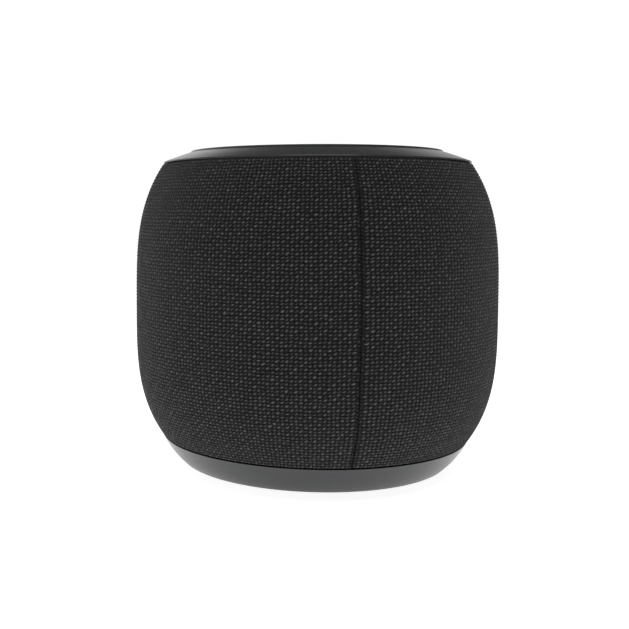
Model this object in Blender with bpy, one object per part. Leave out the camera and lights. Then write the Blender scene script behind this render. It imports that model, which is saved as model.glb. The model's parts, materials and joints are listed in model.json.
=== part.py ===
"""A round, cloth-covered smart speaker, 120 mm across and 106 mm high.

The speaker stands on a rubber foot with +Z up, its origin under the middle of the foot and its seam at
+Y, the rear. From the table up it holds the base with the power inlet, the main board, the sound deflector,
the woofer firing down, the sealed enclosure with a passive radiator on each side, and the deck with the
controls. All sizes are in metres.
"""

import math

import bmesh
import bpy
from mathutils import Matrix

# Outer form
BODY_RADIUS = 0.0600
BODY_HEIGHT = 0.1058
EDGE_DRAW = 0.0091
SHOULDER_POWER = 3.3
HIP_POWER = 3.6
STANDOFF = 0.0030
BOTTOM_RING_HEIGHT = 0.0086
BOTTOM_RING_DRAW = 0.0068
TOP_RING_HEIGHT = 0.0041
TOP_RING_DRAW = 0.0091
RING_WALL = 0.0022
SPIGOT_WALL = 0.0020
SPIGOT_HEIGHT = 0.0036
CLOTH = 0.0010
FRAME_WALL = 0.0020
GAP = 0.0003
PAST = 0.0010  # how far a cutter runs past the face it opens
RING_ROUND = 0.0004
SKIN_STEPS = 40
TURN_STEPS = 32
INNER_STEPS = 24
FINE_STEPS = 12
SCREW_STEPS = 8

# Slots of the frame behind the cloth
SLOT_COLUMNS = 16
SLOT_WIDTH = 0.0080
SLOT_MARGIN = 0.0065
BELT_BAND = 0.0050

# Base
BASE_FLOOR = 0.0030
BASE_RECESS = 0.0006
FOOT_RADIUS = 0.0330
FOOT_WIDTH = 0.0070
FOOT_SEAT = 0.0012
FOOT_CHAMFER = 0.0006
BASE_FLARE = 0.0006
POCKET_WIDTH = 0.0160
POCKET_LENGTH = 0.0280
POCKET_DEPTH = 0.0092
POCKET_FRONT = -0.0045
POCKET_WALL = 0.0015
CHANNEL_WIDTH = 0.0056
CHANNEL_DEPTH = 0.0050
INLET_WIDTH = 0.0090
INLET_HEIGHT = 0.0032
INLET_LENGTH = 0.0082
INLET_WALL = 0.0004
INLET_BOARD = 0.0012
INLET_BOARD_LENGTH = 0.0130
SCREW_SHANK = 0.0013
SCREW_HEAD = 0.0026
HEAD_HEIGHT = 0.0014
BASE_SCREW_CIRCLE = 0.0370
BASE_SCREW_LENGTH = 0.0130
PILLAR_RADIUS = 0.0035

# Main board and what is on it
BOARD = 0.0016
BOARD_RADIUS = 0.0430
BOARD_REST_RADIUS = 0.0025
BOARD_REST_CIRCLE = 0.0300
BOARD_SPACE = 0.0013
SHIELD_SIZE = (0.0260, 0.0200, 0.0030)
SHIELD_SPOT = (-0.0140, 0.0120)
SPREADER_SIZE = (0.0200, 0.0150, 0.0040)
SPREADER_SPOT = (0.0140, -0.0120)
SPREADER_FLOOR = 0.0012
SPREADER_SLOTS = 4
PLUG_HOUSING_SIZE = (0.0070, 0.0050, 0.0045)

# Deflector under the woofer
BAY_HEIGHT = 0.0084
DEFLECTOR_WALL = 0.0020
DEFLECTOR_RISE = 0.0060
DEFLECTOR_MARGIN = 0.0015
SOUND_GAP = 0.0100

# Woofer
BAFFLE = 0.0030
WOOFER_RADIUS = 0.0330
WOOFER_FLANGE = 0.0020
FLANGE_WIDTH = 0.0055
SURROUND_WIDTH = 0.0040
RUBBER = 0.0007
CONE_RIM = 0.0022
CONE_DEPTH = 0.0075
PAPER = 0.0008
COIL_RADIUS = 0.0092
COIL_WALL = 0.0010
COIL_LENGTH = 0.0105
COIL_GAP = 0.0004
TRAVEL_ROOM = 0.0006
BASKET_WALL = 0.0014
PLATE_RADIUS = 0.0165
PLATE = 0.0030
MAGNET_RADIUS = 0.0180
MAGNET_HEIGHT = 0.0080
SPIDER_WAVES = 2
SPIDER_WAVE = 0.0006
WOOFER_TRAVEL = 0.0020
BASKET_WINDOWS = 4
BASKET_WINDOW = 0.0140
CAP_CROWN = 0.0035

# Enclosure and passive radiators
ENCLOSURE_RADIUS = 0.0410
ENCLOSURE_WALL = 0.0024
SEAL = 0.0010
CLAMP_FLANGE = 0.0024
CLAMP_CIRCLE = 0.0448
CLAMP_SCREW_LENGTH = 0.0140
CLAMP_SCREWS = 3
RADIATOR_RADIUS = 0.0205
RADIATOR_FRAME = 0.0045
RADIATOR_PLATE = 0.0016
RADIATOR_DEPTH = 0.0020
PAD_STEP = 0.0030
ROLL_LIFT = 0.0005
PLATE_CHAMFER = 0.0006

# Control deck
PANEL = 0.0020
PANEL_DIP = 0.0006
LIGHT_WIDTH = 0.0027
LIP_WIDTH = 0.0008
BUTTON_RADIUS = 0.0055
BUTTON_CIRCLE = 0.0220
BUTTON_PROUD = 0.0003
BUTTON_LIP = 0.0012
BUTTON_LIP_HEIGHT = 0.0009
BUTTON_STEM = 0.0018
BUTTON_STEM_LENGTH = 0.0010
BUTTON_TRAVEL = 0.0005
BUTTON_DISH = 0.0003
SWITCH_SIZE = 0.0060
SWITCH_BODY = 0.0025
PLUNGER_RADIUS = 0.0016
PLUNGER_HEIGHT = 0.0005
DECK = 0.0020
DECK_WALL = 0.0016
DECK_RIM = 0.0075
POST_RADIUS = 0.0025
POST_CIRCLE = 0.0300
LAMP_BOARD = 0.0008
LAMP_SIZE = 0.0022
LAMP_HEIGHT = 0.0009
LAMPS = 12
MIC_SPACE = 0.0002
MIC_SIZE = (0.0040, 0.0030, 0.0011)
MIC_HOLE = 0.0007
MIC_SEAL_RADIUS = 0.0028
DECK_SCREW_CIRCLE = 0.0100
DECK_SCREW_LENGTH = 0.0062

# Leads and aerial
RIBBON_WIDTH = 0.0100
RIBBON = 0.0005
RIBBON_SLOT = 0.0018
RIBBON_PLAY = 0.0010
RIBBON_BEND = 0.0020
RIBBON_DROP = 0.0030
RIBBON_LANDING = 0.0060
RIBBON_CLEAR = 0.0022
LEAD_RADIUS = 0.0011
LEAD_STRAIGHT = 0.0010
AERIAL_HEIGHT = 0.0180
AERIAL_SPREAD = math.radians(34)
AERIAL = 0.0006

# Heights that follow from the sizes above
SLEEVE_BOTTOM = STANDOFF + BOTTOM_RING_HEIGHT
SLEEVE_TOP = BODY_HEIGHT - TOP_RING_HEIGHT
SLEEVE_MIDDLE = (SLEEVE_BOTTOM + SLEEVE_TOP) / 2
SLEEVE_HALF = (SLEEVE_TOP - SLEEVE_BOTTOM) / 2
EDGE_RADIUS = BODY_RADIUS - EDGE_DRAW
SPIGOT_RADIUS = EDGE_RADIUS - CLOTH - FRAME_WALL - 2 * GAP
BASE_BOTTOM = STANDOFF + BASE_RECESS
BASE_TOP = BASE_BOTTOM + BASE_FLOOR
POCKET_TOP = BASE_BOTTOM + POCKET_DEPTH
BOARD_BOTTOM = POCKET_TOP + POCKET_WALL + BOARD_SPACE
BOARD_TOP = BOARD_BOTTOM + BOARD
DEFLECTOR_BOTTOM = BOARD_TOP + BAY_HEIGHT
DEFLECTOR_TOP = DEFLECTOR_BOTTOM + DEFLECTOR_WALL
BAFFLE_BOTTOM = DEFLECTOR_TOP + SOUND_GAP
BAFFLE_TOP = BAFFLE_BOTTOM + BAFFLE
CLAMP_BOTTOM = BAFFLE_TOP + SEAL + 2 * GAP
CLAMP_TOP = CLAMP_BOTTOM + CLAMP_FLANGE
PANEL_TOP = BODY_HEIGHT - PANEL_DIP
PANEL_BOTTOM = PANEL_TOP - PANEL
LIGHT_OUTER = EDGE_RADIUS - TOP_RING_DRAW - LIP_WIDTH
PANEL_RADIUS = LIGHT_OUTER - LIGHT_WIDTH - 2 * GAP
STEM_BOTTOM = PANEL_BOTTOM - GAP - BUTTON_LIP_HEIGHT - BUTTON_STEM_LENGTH
SWITCH_BOTTOM = STEM_BOTTOM - BUTTON_TRAVEL - GAP / 2 - PLUNGER_HEIGHT - SWITCH_BODY
TOP_BOARD_BOTTOM = SWITCH_BOTTOM - GAP - BOARD
DECK_TOP = TOP_BOARD_BOTTOM - GAP - HEAD_HEIGHT - 2 * GAP
DECK_BOTTOM = DECK_TOP - DECK
ENCLOSURE_TOP = DECK_BOTTOM - GAP
BASKET_DEPTH = CONE_RIM + CONE_DEPTH + PAPER + WOOFER_TRAVEL + TRAVEL_ROOM + BASKET_WALL
RADIATOR_HEIGHT = (CLAMP_TOP + ENCLOSURE_TOP) / 2
MIC_CIRCLE = BUTTON_CIRCLE + BUTTON_RADIUS + BUTTON_LIP + GAP + MIC_SEAL_RADIUS + MIC_SPACE
MERGE = 1e-7


def sleeve_radius(z):
    """Outer radius of the cloth: widest half way up, drawn in by EDGE_DRAW at both edges."""
    share = (z - SLEEVE_MIDDLE) / SLEEVE_HALF
    power = SHOULDER_POWER if share > 0 else HIP_POWER
    return BODY_RADIUS - EDGE_DRAW * abs(share) ** power


def frame_inside(z):
    return sleeve_radius(z) - CLOTH - GAP - FRAME_WALL


def arc(radius, height, size, start, end, count):
    """Points (r, z) on an arc of a circle about (radius, height), with angles in degrees."""
    angles = [math.radians(start + (end - start) * i / count) for i in range(count + 1)]
    return [(radius + size * math.cos(a), height + size * math.sin(a)) for a in angles]


def around(radius, count, start=0.0):
    """Points (x, y) evenly round a circle, with start in degrees from +X."""
    angles = [math.radians(start + 360 * i / count) for i in range(count)]
    return [(radius * math.cos(a), radius * math.sin(a)) for a in angles]


# Shapes: each returns a function that draws itself into a bmesh

def turned(outline, steps=TURN_STEPS, angle=2 * math.pi, at=(0, 0)):
    """A body turned about Z from (r, z) points, which close on themselves or end on the axis."""

    def draw(bm):
        verts = [bm.verts.new((r, 0, z)) for r, z in outline]
        edges = [bm.edges.new(pair) for pair in zip(verts, verts[1:])]
        if outline[0][0] > 0:
            edges.append(bm.edges.new((verts[-1], verts[0])))
        whole = angle > 6.28
        if not whole:
            bm.faces.new(verts)
        made = bmesh.ops.spin(bm, geom=edges, axis=(0, 0, 1), cent=(0, 0, 0), angle=angle,
                              steps=steps, use_merge=whole)
        if not whole:
            last = [v for v in made["geom_last"] if isinstance(v, bmesh.types.BMVert)]
            bm.faces.new(last)
        bmesh.ops.translate(bm, verts=bm.verts, vec=(*at, 0))

    return draw


def rod(radius, low, high, at=(0, 0), steps=FINE_STEPS):
    return turned([(0, low), (radius, low), (radius, high), (0, high)], steps, at=at)


def tube(inner, outer, low, high, at=(0, 0), steps=TURN_STEPS):
    return turned([(outer, high), (outer, low), (inner, low), (inner, high)], steps, at=at)


def block(low, high, turn=0.0):
    """A box between two corners, then turned about Z by an angle in radians."""

    def draw(bm):
        size = [b - a for a, b in zip(low, high)]
        middle = [(a + b) / 2 for a, b in zip(low, high)]
        place = Matrix.Rotation(turn, 4, "Z") @ Matrix.Translation(middle) @ Matrix.Diagonal((*size, 1))
        bmesh.ops.create_cube(bm, size=1, matrix=place)

    return draw


def upright(size, at, low, turn=0.0):
    """A box of the given width, length and height, centred on at, standing on the height low."""
    half_x, half_y = size[0] / 2, size[1] / 2
    return block((at[0] - half_x, at[1] - half_y, low), (at[0] + half_x, at[1] + half_y, low + size[2]), turn)


def screw_shape(tip, head_under, at=(0, 0), head_up=1):
    """A screw on the Z axis; head_up is 1 with the head on top and -1 with the head below."""
    head_end = head_under + head_up * HEAD_HEIGHT
    return turned([(0, tip), (SCREW_SHANK, tip), (SCREW_SHANK, head_under), (SCREW_HEAD, head_under),
                   (SCREW_HEAD, head_end), (0, head_end)], SCREW_STEPS, at=at)


def mesh_of(name, shapes):
    """One mesh from shapes that don't touch each other."""
    whole = bmesh.new()
    for shape in shapes:
        single = bmesh.new()
        shape(single)
        bmesh.ops.remove_doubles(single, verts=single.verts, dist=MERGE)
        bmesh.ops.recalc_face_normals(single, faces=single.faces)
        part = bpy.data.meshes.new(name)
        single.to_mesh(part)
        single.free()
        whole.from_mesh(part)
        bpy.data.meshes.remove(part)
    mesh = bpy.data.meshes.new(name)
    whole.to_mesh(mesh)
    whole.free()
    return mesh


def place(obj, parent, at):
    bpy.context.collection.objects.link(obj)
    obj.parent = parent
    obj.location = at


def solid(name, finish, *shapes, parent=None, at=(0, 0, 0)):
    mesh = mesh_of(name, shapes)
    mesh.materials.append(finish)
    mesh.shade_smooth()
    mesh.set_sharp_from_angle(angle=math.radians(35))
    obj = bpy.data.objects.new(name, mesh)
    place(obj, parent, at)
    return obj


def combine(obj, operation, shapes):
    helper = bpy.data.objects.new(f"{obj.name}_{operation.lower()}", mesh_of(obj.name, shapes))
    place(helper, obj.parent, obj.location)
    helper.hide_render = True
    helper.display_type = "WIRE"
    step = obj.modifiers.new(operation.title(), "BOOLEAN")
    step.operation = operation
    step.solver = "EXACT"
    step.use_self = len(shapes) > 1
    step.object = helper


def fuse(obj, *shapes):
    combine(obj, "UNION", shapes)


def cut(obj, *shapes):
    combine(obj, "DIFFERENCE", shapes)


def empty(name, at=(0, 0, 0), turn=(0, 0, 0)):
    obj = bpy.data.objects.new(name, None)
    bpy.context.collection.objects.link(obj)
    obj.location = at
    obj.rotation_euler = turn
    return obj


def finish(name, colour, roughness, metallic=0.0):
    made = bpy.data.materials.new(name)
    made.use_nodes = True
    shader = made.node_tree.nodes["Principled BSDF"]
    shader.inputs["Base Color"].default_value = (*colour, 1)
    shader.inputs["Roughness"].default_value = roughness
    shader.inputs["Metallic"].default_value = metallic
    return made


def make_finishes():
    return {
        "cloth": finish("black_cloth", (0.018, 0.018, 0.019), 0.95),
        "trim": finish("dark_trim", (0.035, 0.036, 0.039), 0.30),
        "shell": finish("black_plastic", (0.022, 0.022, 0.023), 0.55),
        "rubber": finish("black_rubber", (0.015, 0.015, 0.015), 0.85),
        "panel": finish("panel_plastic", (0.016, 0.016, 0.018), 0.40),
        "diffuser": finish("white_diffuser", (0.80, 0.82, 0.84), 0.45),
        "board": finish("green_board", (0.02, 0.13, 0.06), 0.50),
        "steel": finish("zinc_steel", (0.62, 0.62, 0.60), 0.35, 1.0),
        "tin": finish("tinned_shield", (0.70, 0.70, 0.70), 0.30, 1.0),
        "aluminium": finish("plain_aluminium", (0.75, 0.75, 0.76), 0.40, 1.0),
        "copper": finish("copper_winding", (0.72, 0.36, 0.18), 0.35, 1.0),
        "ferrite": finish("grey_ferrite", (0.07, 0.07, 0.075), 0.60),
        "paper": finish("cone_paper", (0.05, 0.05, 0.05), 0.90),
        "spider": finish("spider_cloth", (0.65, 0.45, 0.16), 0.90),
        "foam": finish("grey_foam", (0.12, 0.12, 0.12), 0.95),
        "ribbon": finish("white_ribbon", (0.80, 0.80, 0.76), 0.50),
    }


# Outer skin

def sleeve_outline(inset, wall, count):
    """Closed outline of a barrel wall whose outside is inset from the cloth's face."""
    low, high = SLEEVE_BOTTOM + GAP, SLEEVE_TOP - GAP
    turns = [-math.cos(math.pi * i / count) for i in range(count + 1)]
    heights = [(low + high) / 2 + (high - low) / 2 * t for t in turns]
    outside = [(sleeve_radius(z) - inset, z) for z in heights]
    inside = [(r - wall, z) for r, z in outside]
    return outside[::-1] + inside


def make_sleeve(finishes):
    solid("fabric_sleeve", finishes["cloth"], turned(sleeve_outline(0, CLOTH, 8), SKIN_STEPS))


def make_grille_frame(finishes):
    frame = solid("grille_frame", finishes["shell"],
                  turned(sleeve_outline(CLOTH + GAP, FRAME_WALL, 4), SKIN_STEPS))
    rows = [(SLEEVE_BOTTOM + SLOT_MARGIN, SLEEVE_MIDDLE - BELT_BAND / 2),
            (SLEEVE_MIDDLE + BELT_BAND / 2, SLEEVE_TOP - SLOT_MARGIN)]
    inner = SPIGOT_RADIUS - FRAME_WALL
    cut(frame, *[block((inner, -SLOT_WIDTH / 2, low), (BODY_RADIUS, SLOT_WIDTH / 2, high),
                       2 * math.pi * i / SLOT_COLUMNS)
                 for i in range(SLOT_COLUMNS) for low, high in rows])


def make_bottom_ring(finishes):
    bottom = EDGE_RADIUS - BOTTOM_RING_DRAW
    inner = SPIGOT_RADIUS - SPIGOT_WALL
    spigot_top = SLEEVE_BOTTOM + SPIGOT_HEIGHT
    solid("bottom_ring", finishes["trim"], turned([
        (SPIGOT_RADIUS, SLEEVE_BOTTOM), (EDGE_RADIUS, SLEEVE_BOTTOM),
        (EDGE_RADIUS - BOTTOM_RING_DRAW * 0.41, STANDOFF + BOTTOM_RING_HEIGHT / 2), (bottom, STANDOFF),
        (bottom - RING_WALL, STANDOFF), (inner, SLEEVE_BOTTOM - RING_WALL),
        (inner, spigot_top), (SPIGOT_RADIUS, spigot_top)], SKIN_STEPS))


def make_top_ring(finishes):
    lip = LIGHT_OUTER + GAP
    inner = SPIGOT_RADIUS - SPIGOT_WALL
    rim = EDGE_RADIUS - TOP_RING_DRAW
    solid("top_ring", finishes["trim"], turned(
        [(lip, BODY_HEIGHT)]
        + arc(rim, BODY_HEIGHT - RING_ROUND, RING_ROUND, 90, 60, 1)
        + [(EDGE_RADIUS, SLEEVE_TOP + GAP), (EDGE_RADIUS, SLEEVE_TOP), (SPIGOT_RADIUS, SLEEVE_TOP),
           (SPIGOT_RADIUS, SLEEVE_TOP - SPIGOT_HEIGHT), (inner, SLEEVE_TOP - SPIGOT_HEIGHT),
           (inner, SLEEVE_TOP), (lip, BODY_HEIGHT - RING_WALL)], SKIN_STEPS))


# Base

def base_screw_spots():
    return around(BASE_SCREW_CIRCLE, 4, 45)


def make_foot(finishes):
    inner = FOOT_RADIUS - FOOT_WIDTH
    top = BASE_BOTTOM + FOOT_SEAT - GAP
    foot = solid("rubber_foot", finishes["rubber"], turned([
        (inner, top), (FOOT_RADIUS, top), (FOOT_RADIUS, FOOT_CHAMFER), (FOOT_RADIUS - FOOT_CHAMFER, 0),
        (inner + FOOT_CHAMFER, 0), (inner, FOOT_CHAMFER)]))
    half = CHANNEL_WIDTH / 2 + 2 * GAP
    cut(foot, block((-half, 0, -PAST), (half, FOOT_RADIUS + PAST, BASE_TOP)))


def make_base_plate(finishes):
    rim = EDGE_RADIUS - BOTTOM_RING_DRAW - RING_WALL - GAP
    half = POCKET_WIDTH / 2
    rear = POCKET_FRONT + POCKET_LENGTH
    channel = CHANNEL_WIDTH / 2
    channel_top = BASE_BOTTOM + CHANNEL_DEPTH
    below = BASE_BOTTOM - PAST
    inlet_low = inlet_bottom()
    plate = solid("base_plate", finishes["shell"], turned([
        (0, BASE_BOTTOM), (rim, BASE_BOTTOM), (rim + BASE_FLARE, BASE_TOP), (0, BASE_TOP)]))
    inside = BASE_BOTTOM + BASE_FLOOR / 2
    rests = [at for at in around(BOARD_REST_CIRCLE, 4) if at[1] < BOARD_REST_CIRCLE / 2]
    fuse(plate,
         block((-half - POCKET_WALL, POCKET_FRONT - POCKET_WALL, inside),
               (half + POCKET_WALL, rear + POCKET_WALL, POCKET_TOP + POCKET_WALL)),
         block((-channel - POCKET_WALL, rear, inside),
               (channel + POCKET_WALL, rim - PAST, channel_top + POCKET_WALL)),
         *[rod(BOARD_REST_RADIUS, inside, BOARD_BOTTOM - GAP, at) for at in rests])
    head_room = BASE_BOTTOM + HEAD_HEIGHT + 2 * GAP
    screw_hole = [(0, below), (SCREW_HEAD + GAP, below), (SCREW_HEAD + GAP, head_room),
                  (SCREW_SHANK + GAP, head_room), (SCREW_SHANK + GAP, BASE_TOP + PAST), (0, BASE_TOP + PAST)]
    cut(plate,
        tube(FOOT_RADIUS - FOOT_WIDTH - GAP, FOOT_RADIUS + GAP, below, BASE_BOTTOM + FOOT_SEAT),
        block((-half, POCKET_FRONT, below - PAST), (half, rear, POCKET_TOP)),
        block((-channel, rear - POCKET_WALL, below - 2 * PAST),
              (channel, rim + BASE_FLARE + PAST, channel_top)),
        block((-INLET_WIDTH / 2 - GAP, POCKET_FRONT - 2 * POCKET_WALL, inlet_low - GAP),
              (INLET_WIDTH / 2 + GAP, POCKET_FRONT + POCKET_WALL, inlet_low + INLET_HEIGHT + GAP)),
        *[turned(screw_hole, FINE_STEPS, at=at) for at in base_screw_spots()])


def make_base_screws(finishes):
    under = BASE_BOTTOM + HEAD_HEIGHT + GAP
    for number, at in enumerate(base_screw_spots(), 1):
        solid(f"base_screw_{number}", finishes["steel"],
              screw_shape(under + BASE_SCREW_LENGTH, under, head_up=-1), at=(*at, 0))


def inlet_bottom():
    return BASE_BOTTOM + (POCKET_DEPTH - INLET_HEIGHT) / 2


def make_power_inlet(finishes):
    low = inlet_bottom()
    back = POCKET_FRONT - INLET_LENGTH
    half = INLET_WIDTH / 2
    wall = INLET_WALL
    inlet = solid("power_inlet", finishes["tin"],
                  block((-half, back, low), (half, POCKET_FRONT, low + INLET_HEIGHT)))
    cut(inlet, block((-half + wall, back + PAST, low + wall),
                     (half - wall, POCKET_FRONT + PAST, low + INLET_HEIGHT - wall)))
    tongue_low = low + INLET_HEIGHT / 2 - wall
    fuse(inlet, block((-half * 0.7, back + wall, tongue_low),
                      (half * 0.7, POCKET_FRONT - PAST, tongue_low + 2 * wall)))
    above = low + INLET_HEIGHT + GAP
    solid("inlet_board", finishes["board"],
          block((-half * 1.7, POCKET_FRONT - POCKET_WALL - GAP - INLET_BOARD_LENGTH, above),
                (half * 1.7, POCKET_FRONT - POCKET_WALL - GAP, above + INLET_BOARD)))


# Main board bay

def make_main_board(finishes):
    board = solid("main_board", finishes["board"],
                  rod(BOARD_RADIUS, BOARD_BOTTOM, BOARD_TOP, steps=TURN_STEPS))
    cut(board, *[rod(PILLAR_RADIUS + GAP, BOARD_BOTTOM - PAST, BOARD_TOP + PAST, at)
                 for at in base_screw_spots()])
    low = BOARD_TOP + GAP
    solid("radio_shield", finishes["tin"], upright(SHIELD_SIZE, SHIELD_SPOT, low))
    spreader = solid("heat_spreader", finishes["aluminium"], upright(SPREADER_SIZE, SPREADER_SPOT, low))
    slot_width = SPREADER_SIZE[0] / (2 * SPREADER_SLOTS + 1)
    first = SPREADER_SPOT[0] - SPREADER_SIZE[0] / 2 + slot_width
    reach = SPREADER_SIZE[1] / 2 + PAST
    cut(spreader, *[block((first + 2 * i * slot_width, SPREADER_SPOT[1] - reach, low + SPREADER_FLOOR),
                          (first + (2 * i + 1) * slot_width, SPREADER_SPOT[1] + reach,
                           low + SPREADER_SIZE[2] + PAST))
                    for i in range(SPREADER_SLOTS)])
    solid("speaker_plug", finishes["ribbon"], upright(PLUG_HOUSING_SIZE, lead_start(), low))


def deflector_edge():
    return frame_inside(DEFLECTOR_BOTTOM) - DEFLECTOR_MARGIN


def deflector_face(radius):
    """Height of the deflector's upper face, which swells smoothly from its edge to its middle."""
    share = 1 - radius / deflector_edge()
    return DEFLECTOR_TOP + DEFLECTOR_RISE * math.sin(share * math.pi / 2) ** 2


def make_deflector(finishes):
    edge = deflector_edge()
    swell = [(edge * (1 - t), deflector_face(edge * (1 - t))) for t in (0.1, 0.35, 0.65, 1.0)]
    hollow = [(r, z - DEFLECTOR_WALL) for r, z in swell[::-1]]
    deflector = solid("sound_deflector", finishes["shell"], turned(
        hollow + [(edge, DEFLECTOR_BOTTOM), (edge, DEFLECTOR_TOP)] + swell))
    half_wall = DEFLECTOR_WALL / 2
    clamp_spots = around(CLAMP_CIRCLE, CLAMP_SCREWS, 90)
    fuse(deflector,
         *[rod(PILLAR_RADIUS, BASE_TOP + GAP, deflector_face(BASE_SCREW_CIRCLE) - half_wall, at)
           for at in base_screw_spots()],
         *[rod(PILLAR_RADIUS, deflector_face(CLAMP_CIRCLE) - half_wall, BAFFLE_BOTTOM - GAP, at)
           for at in clamp_spots])
    thread = SCREW_SHANK + GAP
    base_end = BASE_BOTTOM + HEAD_HEIGHT + 2 * GAP + BASE_SCREW_LENGTH
    clamp_end = CLAMP_TOP - CLAMP_SCREW_LENGTH
    half = RIBBON_WIDTH / 2 + RIBBON_PLAY
    cut(deflector,
        *[rod(thread, BASE_BOTTOM, base_end, at) for at in base_screw_spots()],
        *[rod(thread, clamp_end, BAFFLE_TOP, at) for at in clamp_spots],
        block((-half, -edge - PAST, DEFLECTOR_BOTTOM - PAST),
              (half, -ribbon_drop() + 2 * RIBBON_BEND, DEFLECTOR_TOP + PAST)),
        rod(LEAD_RADIUS * 2, DEFLECTOR_BOTTOM - PAST, BAFFLE_BOTTOM, lead_start()))


# Woofer, whose pieces are drawn about their own axis with the baffle's top at height 0 and the front down

def spider_ring():
    """The radius and height where the spider meets the basket."""
    height = CONE_RIM + CONE_DEPTH + PAPER + 2 * GAP
    return basket_inside(height + SPIDER_WAVE + RUBBER) - 2 * GAP, height


def basket_inside(height):
    """Inner radius of the basket, straight through its flange and then drawn in to the top plate."""
    low = WOOFER_RADIUS - FLANGE_WIDTH
    share = (height - WOOFER_FLANGE) / (BASKET_DEPTH - WOOFER_FLANGE)
    high = PLATE_RADIUS - BASKET_WALL
    return low + (high - low) * max(share, 0) ** 1.5


def make_woofer(finishes):
    axis = empty("woofer_axis", (0, 0, BAFFLE_TOP + GAP))
    throat = COIL_RADIUS + COIL_WALL + COIL_GAP
    plate_low = BASKET_DEPTH + GAP
    magnet_low = plate_low + PLATE + GAP
    yoke_low = magnet_low + MAGNET_HEIGHT + GAP
    pole = COIL_RADIUS - COIL_GAP
    heights = [WOOFER_FLANGE + (BASKET_DEPTH - BASKET_WALL - WOOFER_FLANGE) * i / 3 for i in range(4)]
    wall = [(basket_inside(z), z) for z in heights]
    basket = solid("woofer_basket", finishes["steel"], turned(
        [(WOOFER_RADIUS - FLANGE_WIDTH, 0)] + wall
        + [(throat, BASKET_DEPTH - BASKET_WALL), (throat, BASKET_DEPTH), (PLATE_RADIUS, BASKET_DEPTH)]
        + [(r + BASKET_WALL, z) for r, z in wall[::-1]][1:]
        + [(WOOFER_RADIUS, WOOFER_FLANGE), (WOOFER_RADIUS, 0)]), parent=axis)
    spider_radius, spider_height = spider_ring()
    half = BASKET_WINDOW / 2
    cut(basket, *[block((PLATE_RADIUS - 2 * BASKET_WALL, -half, WOOFER_FLANGE + BASKET_WALL / 2),
                        (WOOFER_RADIUS, half, spider_height - BASKET_WALL), 2 * math.pi * i / BASKET_WINDOWS)
                  for i in range(BASKET_WINDOWS)])
    solid("woofer_top_plate", finishes["steel"],
          tube(throat, PLATE_RADIUS, plate_low, plate_low + PLATE, steps=INNER_STEPS), parent=axis)
    solid("woofer_magnet", finishes["ferrite"],
          tube(throat + COIL_WALL, MAGNET_RADIUS, magnet_low, magnet_low + MAGNET_HEIGHT, steps=INNER_STEPS),
          parent=axis)
    solid("woofer_yoke", finishes["steel"], turned([
        (0, plate_low), (pole, plate_low), (pole, yoke_low), (PLATE_RADIUS, yoke_low),
        (PLATE_RADIUS, yoke_low + PLATE), (0, yoke_low + PLATE)], INNER_STEPS), parent=axis)
    make_moving_cone(finishes, axis)
    radius = WOOFER_RADIUS - FLANGE_WIDTH - GAP - SURROUND_WIDTH / 2
    half = SURROUND_WIDTH / 2
    solid("woofer_surround", finishes["rubber"],
          turned(arc(radius, WOOFER_FLANGE - GAP, half, 180, 360, 4)
                 + arc(radius, WOOFER_FLANGE - GAP, half - RUBBER, 360, 180, 4), INNER_STEPS), parent=axis)
    coil_outside = COIL_RADIUS + COIL_WALL + GAP
    steps = SPIDER_WAVES * 3
    waves = [(coil_outside + (spider_radius - coil_outside) * i / steps,
              spider_height + SPIDER_WAVE * math.sin(2 * math.pi * SPIDER_WAVES * i / steps))
             for i in range(steps + 1)]
    solid("woofer_spider", finishes["spider"],
          turned(waves + [(r, z + RUBBER) for r, z in waves[::-1]], INNER_STEPS), parent=axis)


def make_moving_cone(finishes, axis):
    outer = WOOFER_RADIUS - FLANGE_WIDTH - 2 * GAP - SURROUND_WIDTH
    inner = COIL_RADIUS + COIL_WALL + GAP
    steps = 3
    face = [(outer + (inner - outer) * i / steps, CONE_RIM + CONE_DEPTH * (i / steps) ** 0.85)
            for i in range(steps + 1)]
    solid("woofer_cone", finishes["paper"],
          turned(face + [(r, z + PAPER) for r, z in face[::-1]], INNER_STEPS), parent=axis)
    coil_low = CONE_RIM + CONE_DEPTH
    solid("voice_coil", finishes["copper"],
          tube(COIL_RADIUS, COIL_RADIUS + COIL_WALL, coil_low, coil_low + COIL_LENGTH, steps=INNER_STEPS),
          parent=axis)
    cap = COIL_RADIUS + COIL_WALL
    base = coil_low - GAP
    turns = [math.pi / 8 * i for i in range(4)]
    curve = [(cap * math.cos(t), base - CAP_CROWN * math.sin(t)) for t in turns] + [(0, base - CAP_CROWN)]
    lining = [(r * (1 - PAPER / cap), z + PAPER) for r, z in curve[::-1]]
    lining[-1] = (cap - PAPER, base)
    solid("dust_cap", finishes["paper"], turned(lining + curve, INNER_STEPS), parent=axis)


def make_baffle(finishes):
    baffle = solid("baffle_plate", finishes["shell"],
                   tube(WOOFER_RADIUS - FLANGE_WIDTH + GAP, CLAMP_CIRCLE + SCREW_HEAD + GAP,
                        BAFFLE_BOTTOM, BAFFLE_TOP))
    below, above = BAFFLE_BOTTOM - PAST, BAFFLE_TOP + PAST
    cut(baffle, rod(LEAD_RADIUS + GAP, below, above, lead_end()),
        *[rod(SCREW_SHANK + GAP, below, above, at) for at in around(CLAMP_CIRCLE, CLAMP_SCREWS, 90)])


# Enclosure

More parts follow.
